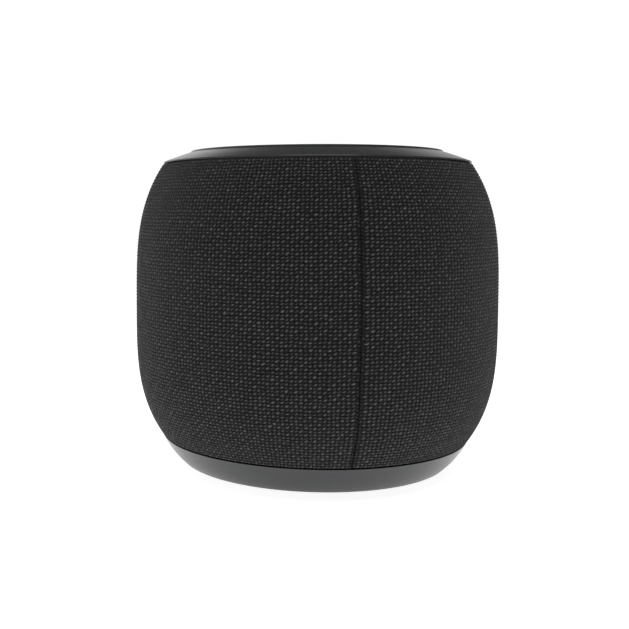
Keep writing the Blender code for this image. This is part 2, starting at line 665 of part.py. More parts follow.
def make_enclosure(finishes):
    inner = ENCLOSURE_RADIUS - ENCLOSURE_WALL
    flange = CLAMP_CIRCLE + SCREW_HEAD + GAP
    body = solid("acoustic_enclosure", finishes["shell"], turned([
        (0, CLAMP_BOTTOM), (flange, CLAMP_BOTTOM), (flange, CLAMP_TOP), (ENCLOSURE_RADIUS, CLAMP_TOP),
        (ENCLOSURE_RADIUS, ENCLOSURE_TOP), (0, ENCLOSURE_TOP)]))
    pad = ENCLOSURE_RADIUS + PAD_STEP
    fuse(body, lying_rod(RADIATOR_RADIUS + GAP, -pad, pad, RADIATOR_HEIGHT))
    screw_zone = DECK_SCREW_CIRCLE + PILLAR_RADIUS
    ceiling = ENCLOSURE_TOP - ENCLOSURE_WALL
    cavity = [(0, CLAMP_BOTTOM - PAST), (inner, CLAMP_BOTTOM - PAST), (inner, ceiling), (screw_zone, ceiling),
              (screw_zone, ENCLOSURE_TOP - DECK_SCREW_LENGTH), (0, ENCLOSURE_TOP - DECK_SCREW_LENGTH)]
    thread = SCREW_SHANK + GAP
    cut(body, turned(cavity),
        lying_rod(RADIATOR_RADIUS - RADIATOR_FRAME, -pad - PAST, pad + PAST, RADIATOR_HEIGHT),
        *[rod(thread, ENCLOSURE_TOP - DECK_SCREW_LENGTH + DECK, ENCLOSURE_TOP + PAST, at)
          for at in around(DECK_SCREW_CIRCLE, 2)],
        *[rod(thread, CLAMP_BOTTOM - PAST, CLAMP_TOP + PAST, at)
          for at in around(CLAMP_CIRCLE, CLAMP_SCREWS, 90)])
    solid("enclosure_seal", finishes["foam"],
          tube(inner + GAP, ENCLOSURE_RADIUS, BAFFLE_TOP + GAP, BAFFLE_TOP + GAP + SEAL))
    for number, at in enumerate(around(CLAMP_CIRCLE, CLAMP_SCREWS, 90), 1):
        under = CLAMP_TOP + GAP
        solid(f"clamp_screw_{number}", finishes["steel"],
              screw_shape(under - CLAMP_SCREW_LENGTH, under), at=(*at, 0))


def lying_rod(radius, low, high, height):
    """A rod along X at the given height."""

    def draw(bm):
        rod(radius, low, high, steps=INNER_STEPS)(bm)
        bmesh.ops.rotate(bm, verts=bm.verts, matrix=Matrix.Rotation(math.pi / 2, 3, "Y"))
        bmesh.ops.translate(bm, verts=bm.verts, vec=(0, 0, height))

    return draw


def make_radiators(finishes):
    """Two passive radiators, each drawn about its own axis with the enclosure's pad at height 0."""
    opening = RADIATOR_RADIUS - RADIATOR_FRAME
    roll = SURROUND_WIDTH / 2
    plate = opening - 2 * GAP - SURROUND_WIDTH
    face = ENCLOSURE_RADIUS + PAD_STEP + GAP
    for side, sign in (("left", -1), ("right", 1)):
        axis = empty(f"{side}_radiator_axis", (sign * face, 0, RADIATOR_HEIGHT), (0, sign * math.pi / 2, 0))
        solid(f"{side}_radiator_frame", finishes["shell"],
              tube(opening, RADIATOR_RADIUS, 0, RADIATOR_DEPTH, steps=INNER_STEPS), parent=axis)
        solid(f"{side}_radiator_surround", finishes["rubber"],
              turned(arc(plate + GAP + roll, ROLL_LIFT, roll, 0, 180, 4)
                     + arc(plate + GAP + roll, ROLL_LIFT, roll - RUBBER, 180, 0, 4), INNER_STEPS),
              parent=axis)
        solid(f"{side}_radiator_plate", finishes["aluminium"], turned([
            (0, 0), (plate, 0), (plate, RADIATOR_PLATE - PLATE_CHAMFER),
            (plate - PLATE_CHAMFER, RADIATOR_PLATE), (0, RADIATOR_PLATE)], INNER_STEPS), parent=axis)


# Control deck

def button_spots():
    names = ("volume_up_button", "mic_mute_button", "volume_down_button", "action_button")
    return list(zip(names, around(BUTTON_CIRCLE, 4)))


def make_deck(finishes):
    rim = SPIGOT_RADIUS - SPIGOT_WALL - GAP
    inner = rim - DECK_WALL
    rim_top = DECK_TOP + DECK_RIM
    deck = solid("control_deck", finishes["shell"], turned([
        (0, DECK_BOTTOM), (rim, DECK_BOTTOM), (rim, rim_top), (inner, rim_top), (inner, DECK_TOP),
        (0, DECK_TOP)]))
    fuse(deck, *[rod(POST_RADIUS, DECK_TOP - DECK / 2, PANEL_BOTTOM - GAP, at)
                 for at in around(POST_CIRCLE, 4, 45)])
    half = RIBBON_WIDTH / 2 + RIBBON_PLAY
    slot = ribbon_column()
    below, above = DECK_BOTTOM - PAST, DECK_TOP + PAST
    cut(deck, block((-half, -slot - RIBBON_SLOT / 2, below), (half, -slot + RIBBON_SLOT / 2, above)),
        *[rod(SCREW_SHANK + GAP, below, above, at) for at in around(DECK_SCREW_CIRCLE, 2)])
    under = DECK_TOP + GAP
    for number, at in enumerate(around(DECK_SCREW_CIRCLE, 2), 1):
        solid(f"deck_screw_{number}", finishes["steel"],
              screw_shape(under - DECK_SCREW_LENGTH, under), at=(*at, 0))


def make_top_board(finishes):
    radius = SPIGOT_RADIUS - SPIGOT_WALL - DECK_WALL - 3 * GAP
    top = TOP_BOARD_BOTTOM + BOARD
    board = solid("control_board", finishes["board"], rod(radius, TOP_BOARD_BOTTOM, top, steps=TURN_STEPS))
    notch = RIBBON_WIDTH / 2 + RIBBON_PLAY
    below, above = TOP_BOARD_BOTTOM - PAST, top + PAST
    cut(board,
        block((-notch, -radius - PAST, below), (notch, -ribbon_column() + RIBBON_SLOT / 2 + GAP, above)),
        *[rod(POST_RADIUS + GAP, below, above, at) for at in around(POST_CIRCLE, 4, 45)])
    low = top + GAP
    outer = LIGHT_OUTER
    inner = PANEL_RADIUS + GAP
    lamps = solid("light_board", finishes["board"], tube(inner, outer, low, low + LAMP_BOARD))
    middle = (inner + outer) / 2
    fuse(lamps, *[upright((LAMP_SIZE, LAMP_SIZE, LAMP_HEIGHT + LAMP_BOARD / 2), (middle, 0),
                          low + LAMP_BOARD / 2, 2 * math.pi * (i + 0.5) / LAMPS) for i in range(LAMPS)])
    cut(lamps, block((-notch, -outer - PAST, low - PAST), (notch, -inner + PAST, PANEL_TOP)))
    for name, at in button_spots():
        switch = solid(name.replace("button", "switch"), finishes["ferrite"],
                       upright((SWITCH_SIZE, SWITCH_SIZE, SWITCH_BODY), (0, 0), low), at=(*at, 0))
        fuse(switch, rod(PLUNGER_RADIUS, low + SWITCH_BODY / 2, low + SWITCH_BODY + PLUNGER_HEIGHT,
                         steps=8))
    for side, x in (("left", -MIC_CIRCLE), ("right", MIC_CIRCLE)):
        mic_top = low + MIC_SIZE[2]
        mic = solid(f"{side}_microphone", finishes["tin"], upright(MIC_SIZE, (0, 0), low), at=(x, 0, 0))
        cut(mic, rod(MIC_HOLE / 2, low + MIC_SIZE[2] / 2, mic_top + PAST, steps=8))
        solid(f"{side}_mic_seal", finishes["rubber"],
              tube(MIC_HOLE, MIC_SEAL_RADIUS, mic_top + GAP, PANEL_BOTTOM - GAP, steps=16), at=(x, 0, 0))


def make_panel(finishes):
    above = PANEL_TOP + PAST
    below = PANEL_BOTTOM - PAST
    panel = solid("top_panel", finishes["panel"],
                  rod(PANEL_RADIUS, PANEL_BOTTOM, PANEL_TOP, steps=SKIN_STEPS))
    cut(panel, *[rod(BUTTON_RADIUS + GAP, below, above, at, 16) for _, at in button_spots()],
        *[rod(MIC_HOLE, below, above, (x, 0), 8) for x in (-MIC_CIRCLE, MIC_CIRCLE)])
    lamp_top = TOP_BOARD_BOTTOM + BOARD + GAP + LAMP_BOARD + LAMP_HEIGHT
    solid("light_ring", finishes["diffuser"],
          tube(PANEL_RADIUS + GAP, LIGHT_OUTER, lamp_top + GAP, PANEL_TOP, steps=SKIN_STEPS))


def make_buttons(finishes):
    top = PANEL_TOP + BUTTON_PROUD
    lip_top = PANEL_BOTTOM - GAP
    lip_low = lip_top - BUTTON_LIP_HEIGHT
    for name, at in button_spots():
        solid(name, finishes["panel"], turned([
            (0, STEM_BOTTOM), (BUTTON_STEM, STEM_BOTTOM), (BUTTON_STEM, lip_low),
            (BUTTON_RADIUS + BUTTON_LIP, lip_low), (BUTTON_RADIUS + BUTTON_LIP, lip_top),
            (BUTTON_RADIUS, lip_top), (BUTTON_RADIUS, top - BUTTON_DISH), (BUTTON_RADIUS - BUTTON_DISH, top),
            (0, top - BUTTON_DISH)], 16), at=(*at, 0))


# Leads and aerial

def ribbon_column():
    """How far forward the ribbon passes through the deck."""
    return SPIGOT_RADIUS - SPIGOT_WALL - 2 * GAP - DECK_WALL - RIBBON_SLOT / 2


def ribbon_drop():
    """How far forward the ribbon comes down, outside the clamp flange and its own bend."""
    return max(CLAMP_CIRCLE + SCREW_HEAD + RIBBON_CLEAR, ribbon_column() + 2 * RIBBON_BEND + GAP)


def lead_start():
    return (-0.0200, -0.0200)


def lead_end():
    return (-0.0258, -0.0258)


def strip(path, thick, width):
    """A flat strip along (y, z) points in the plane of Y and Z, centred on X = 0."""

    def draw(bm):
        sides = []
        for i, (y, z) in enumerate(path):
            before, after = path[max(i - 1, 0)], path[min(i + 1, len(path) - 1)]
            along = (after[0] - before[0], after[1] - before[1])
            length = math.hypot(*along)
            sides.append((-along[1] / length * thick / 2, along[0] / length * thick / 2))
        one = [(y + a, z + b) for (y, z), (a, b) in zip(path, sides)]
        two = [(y - a, z - b) for (y, z), (a, b) in zip(path, sides)]
        face = bm.faces.new([bm.verts.new((-width / 2, y, z)) for y, z in one + two[::-1]])
        made = bmesh.ops.extrude_face_region(bm, geom=[face])
        moved = [v for v in made["geom"] if isinstance(v, bmesh.types.BMVert)]
        bmesh.ops.translate(bm, verts=moved, vec=(width, 0, 0))

    return draw


def make_ribbon(finishes):
    """The flat lead from the control board, outside the enclosure, to the main board."""
    column = ribbon_column()
    outside = ribbon_drop()
    bend = RIBBON_BEND
    top = TOP_BOARD_BOTTOM + BOARD + RIBBON
    shelf = DECK_BOTTOM - RIBBON_DROP
    floor = BOARD_TOP + GAP + RIBBON
    landing = BOARD_RADIUS - RIBBON_LANDING
    path = [(-column, top), (-column, shelf + bend)]
    path += [(y, z) for y, z in arc(-column - bend, shelf + bend, bend, 0, -90, 4)][1:]
    path += [(y, z) for y, z in arc(-outside + bend, shelf - bend, bend, 90, 180, 4)]
    path += [(y, z) for y, z in arc(-outside + bend, floor + bend, bend, 180, 270, 4)]
    path += [(-landing, floor)]
    solid("ribbon_cable", finishes["ribbon"], strip(path, RIBBON, RIBBON_WIDTH))


def make_speaker_lead(finishes):
    """The woofer's lead, from its plug on the main board up through the deflector and the baffle."""
    low = BOARD_TOP + 2 * GAP + PLUG_HOUSING_SIZE[2]
    high = BAFFLE_TOP - GAP
    x0, y0 = lead_start()
    x1, y1 = lead_end()
    curve = bpy.data.curves.new("speaker_lead", "CURVE")
    curve.dimensions = "3D"
    curve.bevel_depth = LEAD_RADIUS
    curve.bevel_resolution = 2
    curve.use_fill_caps = True
    line = curve.splines.new("POLY")
    count = 14
    line.points.add(count)
    start_bend = deflector_face(math.hypot(x0, y0)) + LEAD_STRAIGHT / 2
    end_bend = BAFFLE_BOTTOM - LEAD_STRAIGHT
    for i, point in enumerate(line.points):
        z = low + (high - low) * i / count
        share = min(max((z - start_bend) / (end_bend - start_bend), 0), 1)
        ease = share * share * (3 - 2 * share)
        point.co = (x0 + (x1 - x0) * ease, y0 + (y1 - y0) * ease, z, 1)
    curve.materials.append(finishes["rubber"])
    obj = bpy.data.objects.new("speaker_lead", curve)
    place(obj, None, (0, 0, 0))


def make_aerial(finishes):
    """A thin aerial stuck to the rear of the enclosure, under the cloth's seam."""
    inner = ENCLOSURE_RADIUS + GAP
    low = RADIATOR_HEIGHT - AERIAL_HEIGHT / 2
    start = math.pi / 2 - AERIAL_SPREAD / 2
    aerial = solid("radio_aerial", finishes["copper"], turned(
        [(inner, low), (inner + AERIAL, low), (inner + AERIAL, low + AERIAL_HEIGHT),
         (inner, low + AERIAL_HEIGHT)], 6, AERIAL_SPREAD))
    aerial.rotation_euler = (0, 0, start)


def main():
    for obj in list(bpy.data.objects):
        bpy.data.objects.remove(obj, do_unlink=True)
    finishes = make_finishes()
    make_sleeve(finishes)
    make_grille_frame(finishes)
    make_bottom_ring(finishes)
    make_top_ring(finishes)
    make_foot(finishes)
    make_base_plate(finishes)
    make_base_screws(finishes)
    make_power_inlet(finishes)
    make_main_board(finishes)
    make_deflector(finishes)
    make_baffle(finishes)
    make_woofer(finishes)
    make_enclosure(finishes)
    make_radiators(finishes)
    make_deck(finishes)
    make_top_board(finishes)
    make_panel(finishes)
    make_buttons(finishes)
    make_ribbon(finishes)
    make_speaker_lead(finishes)
    make_aerial(finishes)


main()
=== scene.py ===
"""The looks of a round, cloth-covered smart speaker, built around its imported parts.

The speaker stands at the origin with +Z up and the seam of its cloth at +Y, the rear.
All sizes are in metres.
"""

import json
import math

import bpy
import numpy as np
from mathutils import Euler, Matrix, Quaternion, Vector


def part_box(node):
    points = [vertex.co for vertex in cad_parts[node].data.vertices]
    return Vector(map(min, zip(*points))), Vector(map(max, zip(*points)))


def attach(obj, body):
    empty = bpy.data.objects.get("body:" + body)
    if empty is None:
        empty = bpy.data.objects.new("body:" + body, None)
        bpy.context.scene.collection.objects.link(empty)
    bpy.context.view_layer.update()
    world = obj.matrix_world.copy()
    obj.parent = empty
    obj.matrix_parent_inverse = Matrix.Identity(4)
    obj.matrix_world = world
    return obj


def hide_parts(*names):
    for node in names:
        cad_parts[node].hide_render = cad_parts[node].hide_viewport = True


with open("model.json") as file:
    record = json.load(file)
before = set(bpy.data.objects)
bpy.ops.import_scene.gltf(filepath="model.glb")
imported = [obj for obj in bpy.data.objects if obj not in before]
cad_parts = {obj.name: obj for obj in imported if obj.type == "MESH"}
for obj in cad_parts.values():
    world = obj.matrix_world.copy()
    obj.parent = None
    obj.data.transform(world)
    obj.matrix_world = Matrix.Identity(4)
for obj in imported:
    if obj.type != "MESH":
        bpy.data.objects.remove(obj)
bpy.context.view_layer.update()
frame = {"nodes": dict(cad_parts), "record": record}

# Sizes of the skin, the same as in the part's own model
BODY_RADIUS = 0.0600
BODY_TOP = 0.1058
EDGE_RADIUS = 0.0509
SLEEVE_BOTTOM = 0.0116
SLEEVE_TOP = 0.1017
SLEEVE_MIDDLE = (SLEEVE_BOTTOM + SLEEVE_TOP) / 2
SLEEVE_HALF = (SLEEVE_TOP - SLEEVE_BOTTOM) / 2
SHOULDER_POWER = 3.3
HIP_POWER = 3.6
CLOTH = 0.0010
GAP = 0.0003
STANDOFF = 0.0030
SPIGOT_RADIUS = 0.0473
SPIGOT_WALL = 0.0020
SPIGOT_HEIGHT = 0.0036
RING_WALL = 0.0022
PAST = 0.0010  # how far a cutter runs past the face it opens
EDGE = 0.0003
SMALL_EDGE = 0.0002
BASE_BOTTOM = 0.0036
BASE_FLOOR = 0.0030
BASE_RIM = 0.0416
BASE_FLARE = 0.0006
FOOT_RADIUS = 0.0330
FOOT_WIDTH = 0.0070
FOOT_TOP = 0.0045
FOOT_SPLIT = 0.0034
FOOT_ROUND = 0.0008
GROOVE = 0.0004
GROOVE_MOUTH = 0.0005
GROOVE_SPREAD = 0.0012
POCKET_HALF = 0.0080
POCKET_FRONT = -0.0045
POCKET_REAR = 0.0235
POCKET_TOP = 0.0128
POCKET_WALL = 0.0015
CHANNEL_HALF = 0.0028
CHANNEL_TOP = 0.0086
BOARD_BOTTOM = 0.0156
BOARD_REST_CIRCLE = 0.0300
BOARD_REST_RADIUS = 0.0025
INLET_HALF = 0.0048
BASE_SCREW_CIRCLE = 0.0370
PANEL_RADIUS = 0.0377
PANEL_BOTTOM = 0.1032
PANEL_TOP = 0.1052
LIGHT_INNER = 0.0380
LIGHT_OUTER = 0.0410
BUTTON_RADIUS = 0.0055
BUTTON_TOP = 0.1055
BUTTON_LIP = 0.0067
BUTTON_LIP_TOP = 0.1029
BUTTON_LIP_HEIGHT = 0.0009
BUTTON_STEM = 0.0018
STEM_BOTTOM = 0.1010
BUTTON_FLOOR = 0.10525
MARK_BOTTOM = BUTTON_FLOOR - 0.0002
MARK_TOP = 0.10540
BUTTON_CIRCLE = 0.0220
MIC_CIRCLE = 0.0320
MIC_HOLE = 0.0007
SEAL_WIDTH = 0.0021
ROLL_WALL = 0.0007
SPIDER_HOLE = 0.0105
SPIDER_WAVE = 0.0006
SPIDER_THICK = 0.0005
SCREW_SHANK = 0.0013
SCREW_HEAD = 0.0026
HEAD_HEIGHT = 0.0014
THREAD = 0.0007
THREAD_ROOT = 0.75
POINT = 0.35
NECK = 0.9
HEAD_EDGE = 0.0001
HEAD_SIDE = 0.0007
HEAD_SHOULDER = 0.0011
CROSS_REACH = 0.0014
CROSS_WIDTH = 0.00028
CROSS_DEPTH = 0.0008

# The weave
WARPS = 280
WEFTS = 86
YARN_RISE = 0.00016
YARN_ROUND = 0.00018
YARN_TWIST = -0.55
SEAM_GROOVE = 0.00060
SEAM_DRAW = 0.00048  # how far the yarns beside the seam are pulled towards it
SEAM_DIP = 0.00007
SEAM_REACH = 0.0020
SEAM_SLANT = 0.00050

# The studio
BACK_WALL_LIGHT = 0.9
WALL_LIGHT = 0.6
CEILING_LIGHT = 0.08
SIDE_SHADE = 0.35
# Glow of the floor in the light it throws back on the speaker: a painted shadow near it, a painted bright
# ring round it, then the far floor.
PAINTED_FLOOR_SHADOW = 0.55
PAINTED_FLOOR_GLOW = 1.5
FLOOR_FAR = 0.9
SOFT_BOX_POWER = 6.0
CAMERA_SIDE = 77.345
CAMERA_DISTANCE = 0.3261
CAMERA_HEIGHT = 0.0870
CAMERA_TILT = 86.660
CAMERA_TURN = 95.610
CAMERA_ROLL = 0.130
LENS = 55.06
LENS_SHIFT = (0.15, -0.08)


# Modelling by hand

def begin():
    if bpy.context.object and bpy.context.object.mode != "OBJECT":
        bpy.ops.object.mode_set(mode="OBJECT")
    bpy.ops.object.select_all(action="DESELECT")


def settle(piece, angle=30):
    """Ends the work on a piece: its place goes into its mesh and its soft edges are shaded smooth."""
    begin()
    bpy.context.view_layer.objects.active = piece
    piece.select_set(True)
    bpy.ops.object.transform_apply(location=True, rotation=True, scale=True)
    bpy.ops.object.shade_smooth_by_angle(angle=math.radians(angle))
    return piece


def tidy_mesh():
    """In edit mode: merges what lies on itself and points the faces outwards."""
    bpy.ops.mesh.select_all(action="SELECT")
    bpy.ops.mesh.remove_doubles(threshold=1e-6)
    bpy.ops.mesh.normals_make_consistent(inside=False)


def step_to(radius, height, last):
    """In edit mode: extrudes the selected loop and takes it from last to the radius and height given."""
    bpy.ops.mesh.extrude_edges_move(TRANSFORM_OT_translate={"value": (0, 0, height - last[1])})
    share = radius / last[0]
    bpy.ops.transform.resize(value=(share, share, 1), center_override=(0, 0, height))
    return radius, height


def turned(name, outline, sides=160, angle=30):
    """A round piece: a circle at the outline's first point, extruded along the rest.
    It is closed on itself, or by flat faces where the outline starts and ends near the axis."""
    begin()
    first = last = outline[0]
    bpy.ops.mesh.primitive_circle_add(vertices=sides, radius=first[0], location=(0, 0, first[1]))
    piece = bpy.context.object
    piece.name = piece.data.name = name
    bpy.ops.object.transform_apply(location=True, rotation=True, scale=True)
    bpy.ops.object.mode_set(mode="EDIT")
    capped = outline[0] != outline[-1]
    if capped:
        bpy.ops.mesh.edge_face_add()
    for radius, height in outline[1:]:
        last = step_to(radius, height, last)
    if capped:
        bpy.ops.mesh.edge_face_add()
    tidy_mesh()
    bpy.ops.object.mode_set(mode="OBJECT")
    return settle(piece, angle)


def apply(piece, kind, **settings):
    """Adds one modifier and applies it."""
    begin()
    bpy.context.view_layer.objects.active = piece
    piece.select_set(True)
    step = piece.modifiers.new(kind.title(), kind)
    for key, value in settings.items():
        setattr(step, key, value)
    bpy.ops.object.modifier_apply(modifier=step.name)
    return piece


def cut(piece, *cutters):
    """Cuts one or more pieces out of another and removes them."""
    begin()
    for cutter in cutters:
        cutter.select_set(True)
    bpy.context.view_layer.objects.active = cutters[0]
    if len(cutters) > 1:
        bpy.ops.object.join()
    cutter = bpy.context.view_layer.objects.active
    apply(piece, "BOOLEAN", operation="DIFFERENCE", solver="EXACT", object=cutter, use_self=len(cutters) > 1)
    bpy.data.objects.remove(cutter)
    return piece


def fuse(piece, *additions):
    """Joins pieces that overlap into one closed body."""
    for addition in additions:
        apply(piece, "BOOLEAN", operation="UNION", solver="EXACT", object=addition)
        bpy.data.objects.remove(addition)
    return piece


def rod(radius, low, high, at=(0, 0), sides=48):
    begin()
    bpy.ops.mesh.primitive_cylinder_add(vertices=sides, radius=radius, depth=high - low,
                                        location=(at[0], at[1], (low + high) / 2))
    return bpy.context.object


def block(low, high, turn=0.0):
    begin()
    middle = [(a + b) / 2 for a, b in zip(low, high)]
    bpy.ops.mesh.primitive_cube_add(size=1, location=middle)
    piece = bpy.context.object
    piece.scale = [b - a for a, b in zip(low, high)]
    bpy.ops.object.transform_apply(location=True, rotation=True, scale=True)
    if turn:
        piece.rotation_euler[2] = turn
        bpy.ops.object.transform_apply(location=True, rotation=True, scale=True)
    return piece


def soft_edges(piece, width, segments=3, angle=35):
    apply(piece, "BEVEL", width=width, segments=segments, limit_method="ANGLE",
          angle_limit=math.radians(angle), use_clamp_overlap=True)
    settle(piece)
    return apply(piece, "WEIGHTED_NORMAL", keep_sharp=True)


def copied(model, name, at, turn=(0, 0, 0)):
    """A copy of a finished piece, with its own mesh, turned and moved to its place."""
    begin()
    model.select_set(True)
    bpy.context.view_layer.objects.active = model
    bpy.ops.object.duplicate()
    piece = bpy.context.object
    piece.name = piece.data.name = name
    piece.rotation_euler = turn
    piece.location = at
    bpy.ops.object.transform_apply(location=True, rotation=True, scale=False)
    return piece


def arc(radius, height, size, start, end, count):
    """Points (r, z) on an arc of a circle about (radius, height), with angles in degrees."""
    turns = [math.radians(start + (end - start) * i / count) for i in range(count + 1)]
    return [(radius + size * math.cos(t), height + size * math.sin(t)) for t in turns]


def dress(piece, finish, slot, body, *nodes):
    """Gives a finished piece its material and its body, and hides the nodes that it stands for. The slot is
    not used.
    """
    piece.data.materials.clear()
    piece.data.materials.append(finish)
    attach(piece, body)
    if nodes:
        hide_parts(*nodes)
    return piece


# Finishes

class Finish:
    """A material on one shader, with short calls for its nodes."""

    def __init__(self, name, colour, roughness, metallic=0.0, **sockets):
        self.material = bpy.data.materials.new(name)
        self.material.use_nodes = True
        self.tree = self.material.node_tree
        self.shader = self.tree.nodes["Principled BSDF"]
        self.set("Base Color", (*colour, 1))
        self.set("Roughness", roughness)
        self.set("Metallic", metallic)
        for socket, value in sockets.items():
            self.set(socket.replace("_", " "), value)
        self.where = self.node("ShaderNodeTexCoord").outputs["Object"]
        self.heights = []

    def set(self, socket, value):
        self.shader.inputs[socket].default_value = value

    def node(self, kind, **settings):
        made = self.tree.nodes.new(kind)
        for key, value in settings.items():
            setattr(made, key, value)
        return made

    def feed(self, socket, value):
        if isinstance(value, bpy.types.NodeSocket):
            self.tree.links.new(value, socket)
        else:
            socket.default_value = value

    def maths(self, operation, one, two=0.0, three=0.0):
        made = self.node("ShaderNodeMath", operation=operation)
        for socket, value in zip(made.inputs, (one, two, three)):
            self.feed(socket, value)
        return made.outputs[0]

    def noise(self, scale, detail=3.0, roughness=0.55, stretch=None, where=None):
        made = self.node("ShaderNodeTexNoise")
        made.inputs["Scale"].default_value = scale
        made.inputs["Detail"].default_value = detail
        made.inputs["Roughness"].default_value = roughness
        where = where or self.where
        self.feed(made.inputs["Vector"], self.stretched(stretch, where) if stretch else where)
        return made.outputs["Fac"]

    def cells(self, scale):
        made = self.node("ShaderNodeTexVoronoi")
        made.inputs["Scale"].default_value = scale
        self.feed(made.inputs["Vector"], self.where)
        return made.outputs["Distance"]

    def bands(self, scale, direction="Z", distortion=0.0):
        made = self.node("ShaderNodeTexWave", wave_type="BANDS", bands_direction=direction)
        made.inputs["Scale"].default_value = scale
        made.inputs["Distortion"].default_value = distortion
        self.feed(made.inputs["Vector"], self.where)
        return made.outputs["Fac"]

    def stretched(self, scale, where):
        made = self.node("ShaderNodeMapping")
        made.inputs["Scale"].default_value = scale
        self.feed(made.inputs["Vector"], where)
        return made.outputs["Vector"]

    def range(self, value, low, high, to_low, to_high):
        made = self.node("ShaderNodeMapRange")
        for socket, number in zip(made.inputs, (value, low, high, to_low, to_high)):
            self.feed(socket, number)
        return made.outputs["Result"]

    def mix(self, share, one, two):
        made = self.node("ShaderNodeMix", data_type="RGBA")
        self.feed(made.inputs["Factor"], share)
        self.feed(made.inputs["A"], (*one, 1) if isinstance(one, tuple) else one)
        self.feed(made.inputs["B"], (*two, 1) if isinstance(two, tuple) else two)
        return made.outputs["Result"]

    def tint(self, share, one, two):
        """The colour runs from one to two with the share."""
        self.feed(self.shader.inputs["Base Color"], self.mix(share, one, two))

    def gloss(self, value, low, high):
        """The roughness runs from low to high with a value from 0 to 1."""
        self.feed(self.shader.inputs["Roughness"], self.range(value, 0.0, 1.0, low, high))

    def relief(self, height, distance):
        """Adds a relief on top of those before it."""
        made = self.node("ShaderNodeBump")
        made.inputs["Distance"].default_value = distance
        made.inputs["Strength"].default_value = 1.0
        self.feed(made.inputs["Height"], height)
        if self.heights:
            self.feed(made.inputs["Normal"], self.heights[-1])
        self.heights.append(made.outputs["Normal"])
        self.feed(self.shader.inputs["Normal"], made.outputs["Normal"])


def shade(colour, by):
    return tuple(min(c * by, 1.0) for c in colour)


def moulded(name, colour, roughness, grain, depth, spread=0.25, **sockets):
    """Moulded plastic: a fine grain of the mould, and slow changes of tone and gloss."""
    finish = Finish(name, colour, roughness, **sockets)
    slow = finish.noise(45.0, 2.0)
    finish.tint(slow, shade(colour, 1 - spread), shade(colour, 1 + spread))
    finish.gloss(finish.noise(90.0, 4.0), roughness * 0.85, roughness * 1.15)
    finish.relief(finish.noise(grain, 2.0, 0.6), depth)
    return finish.material


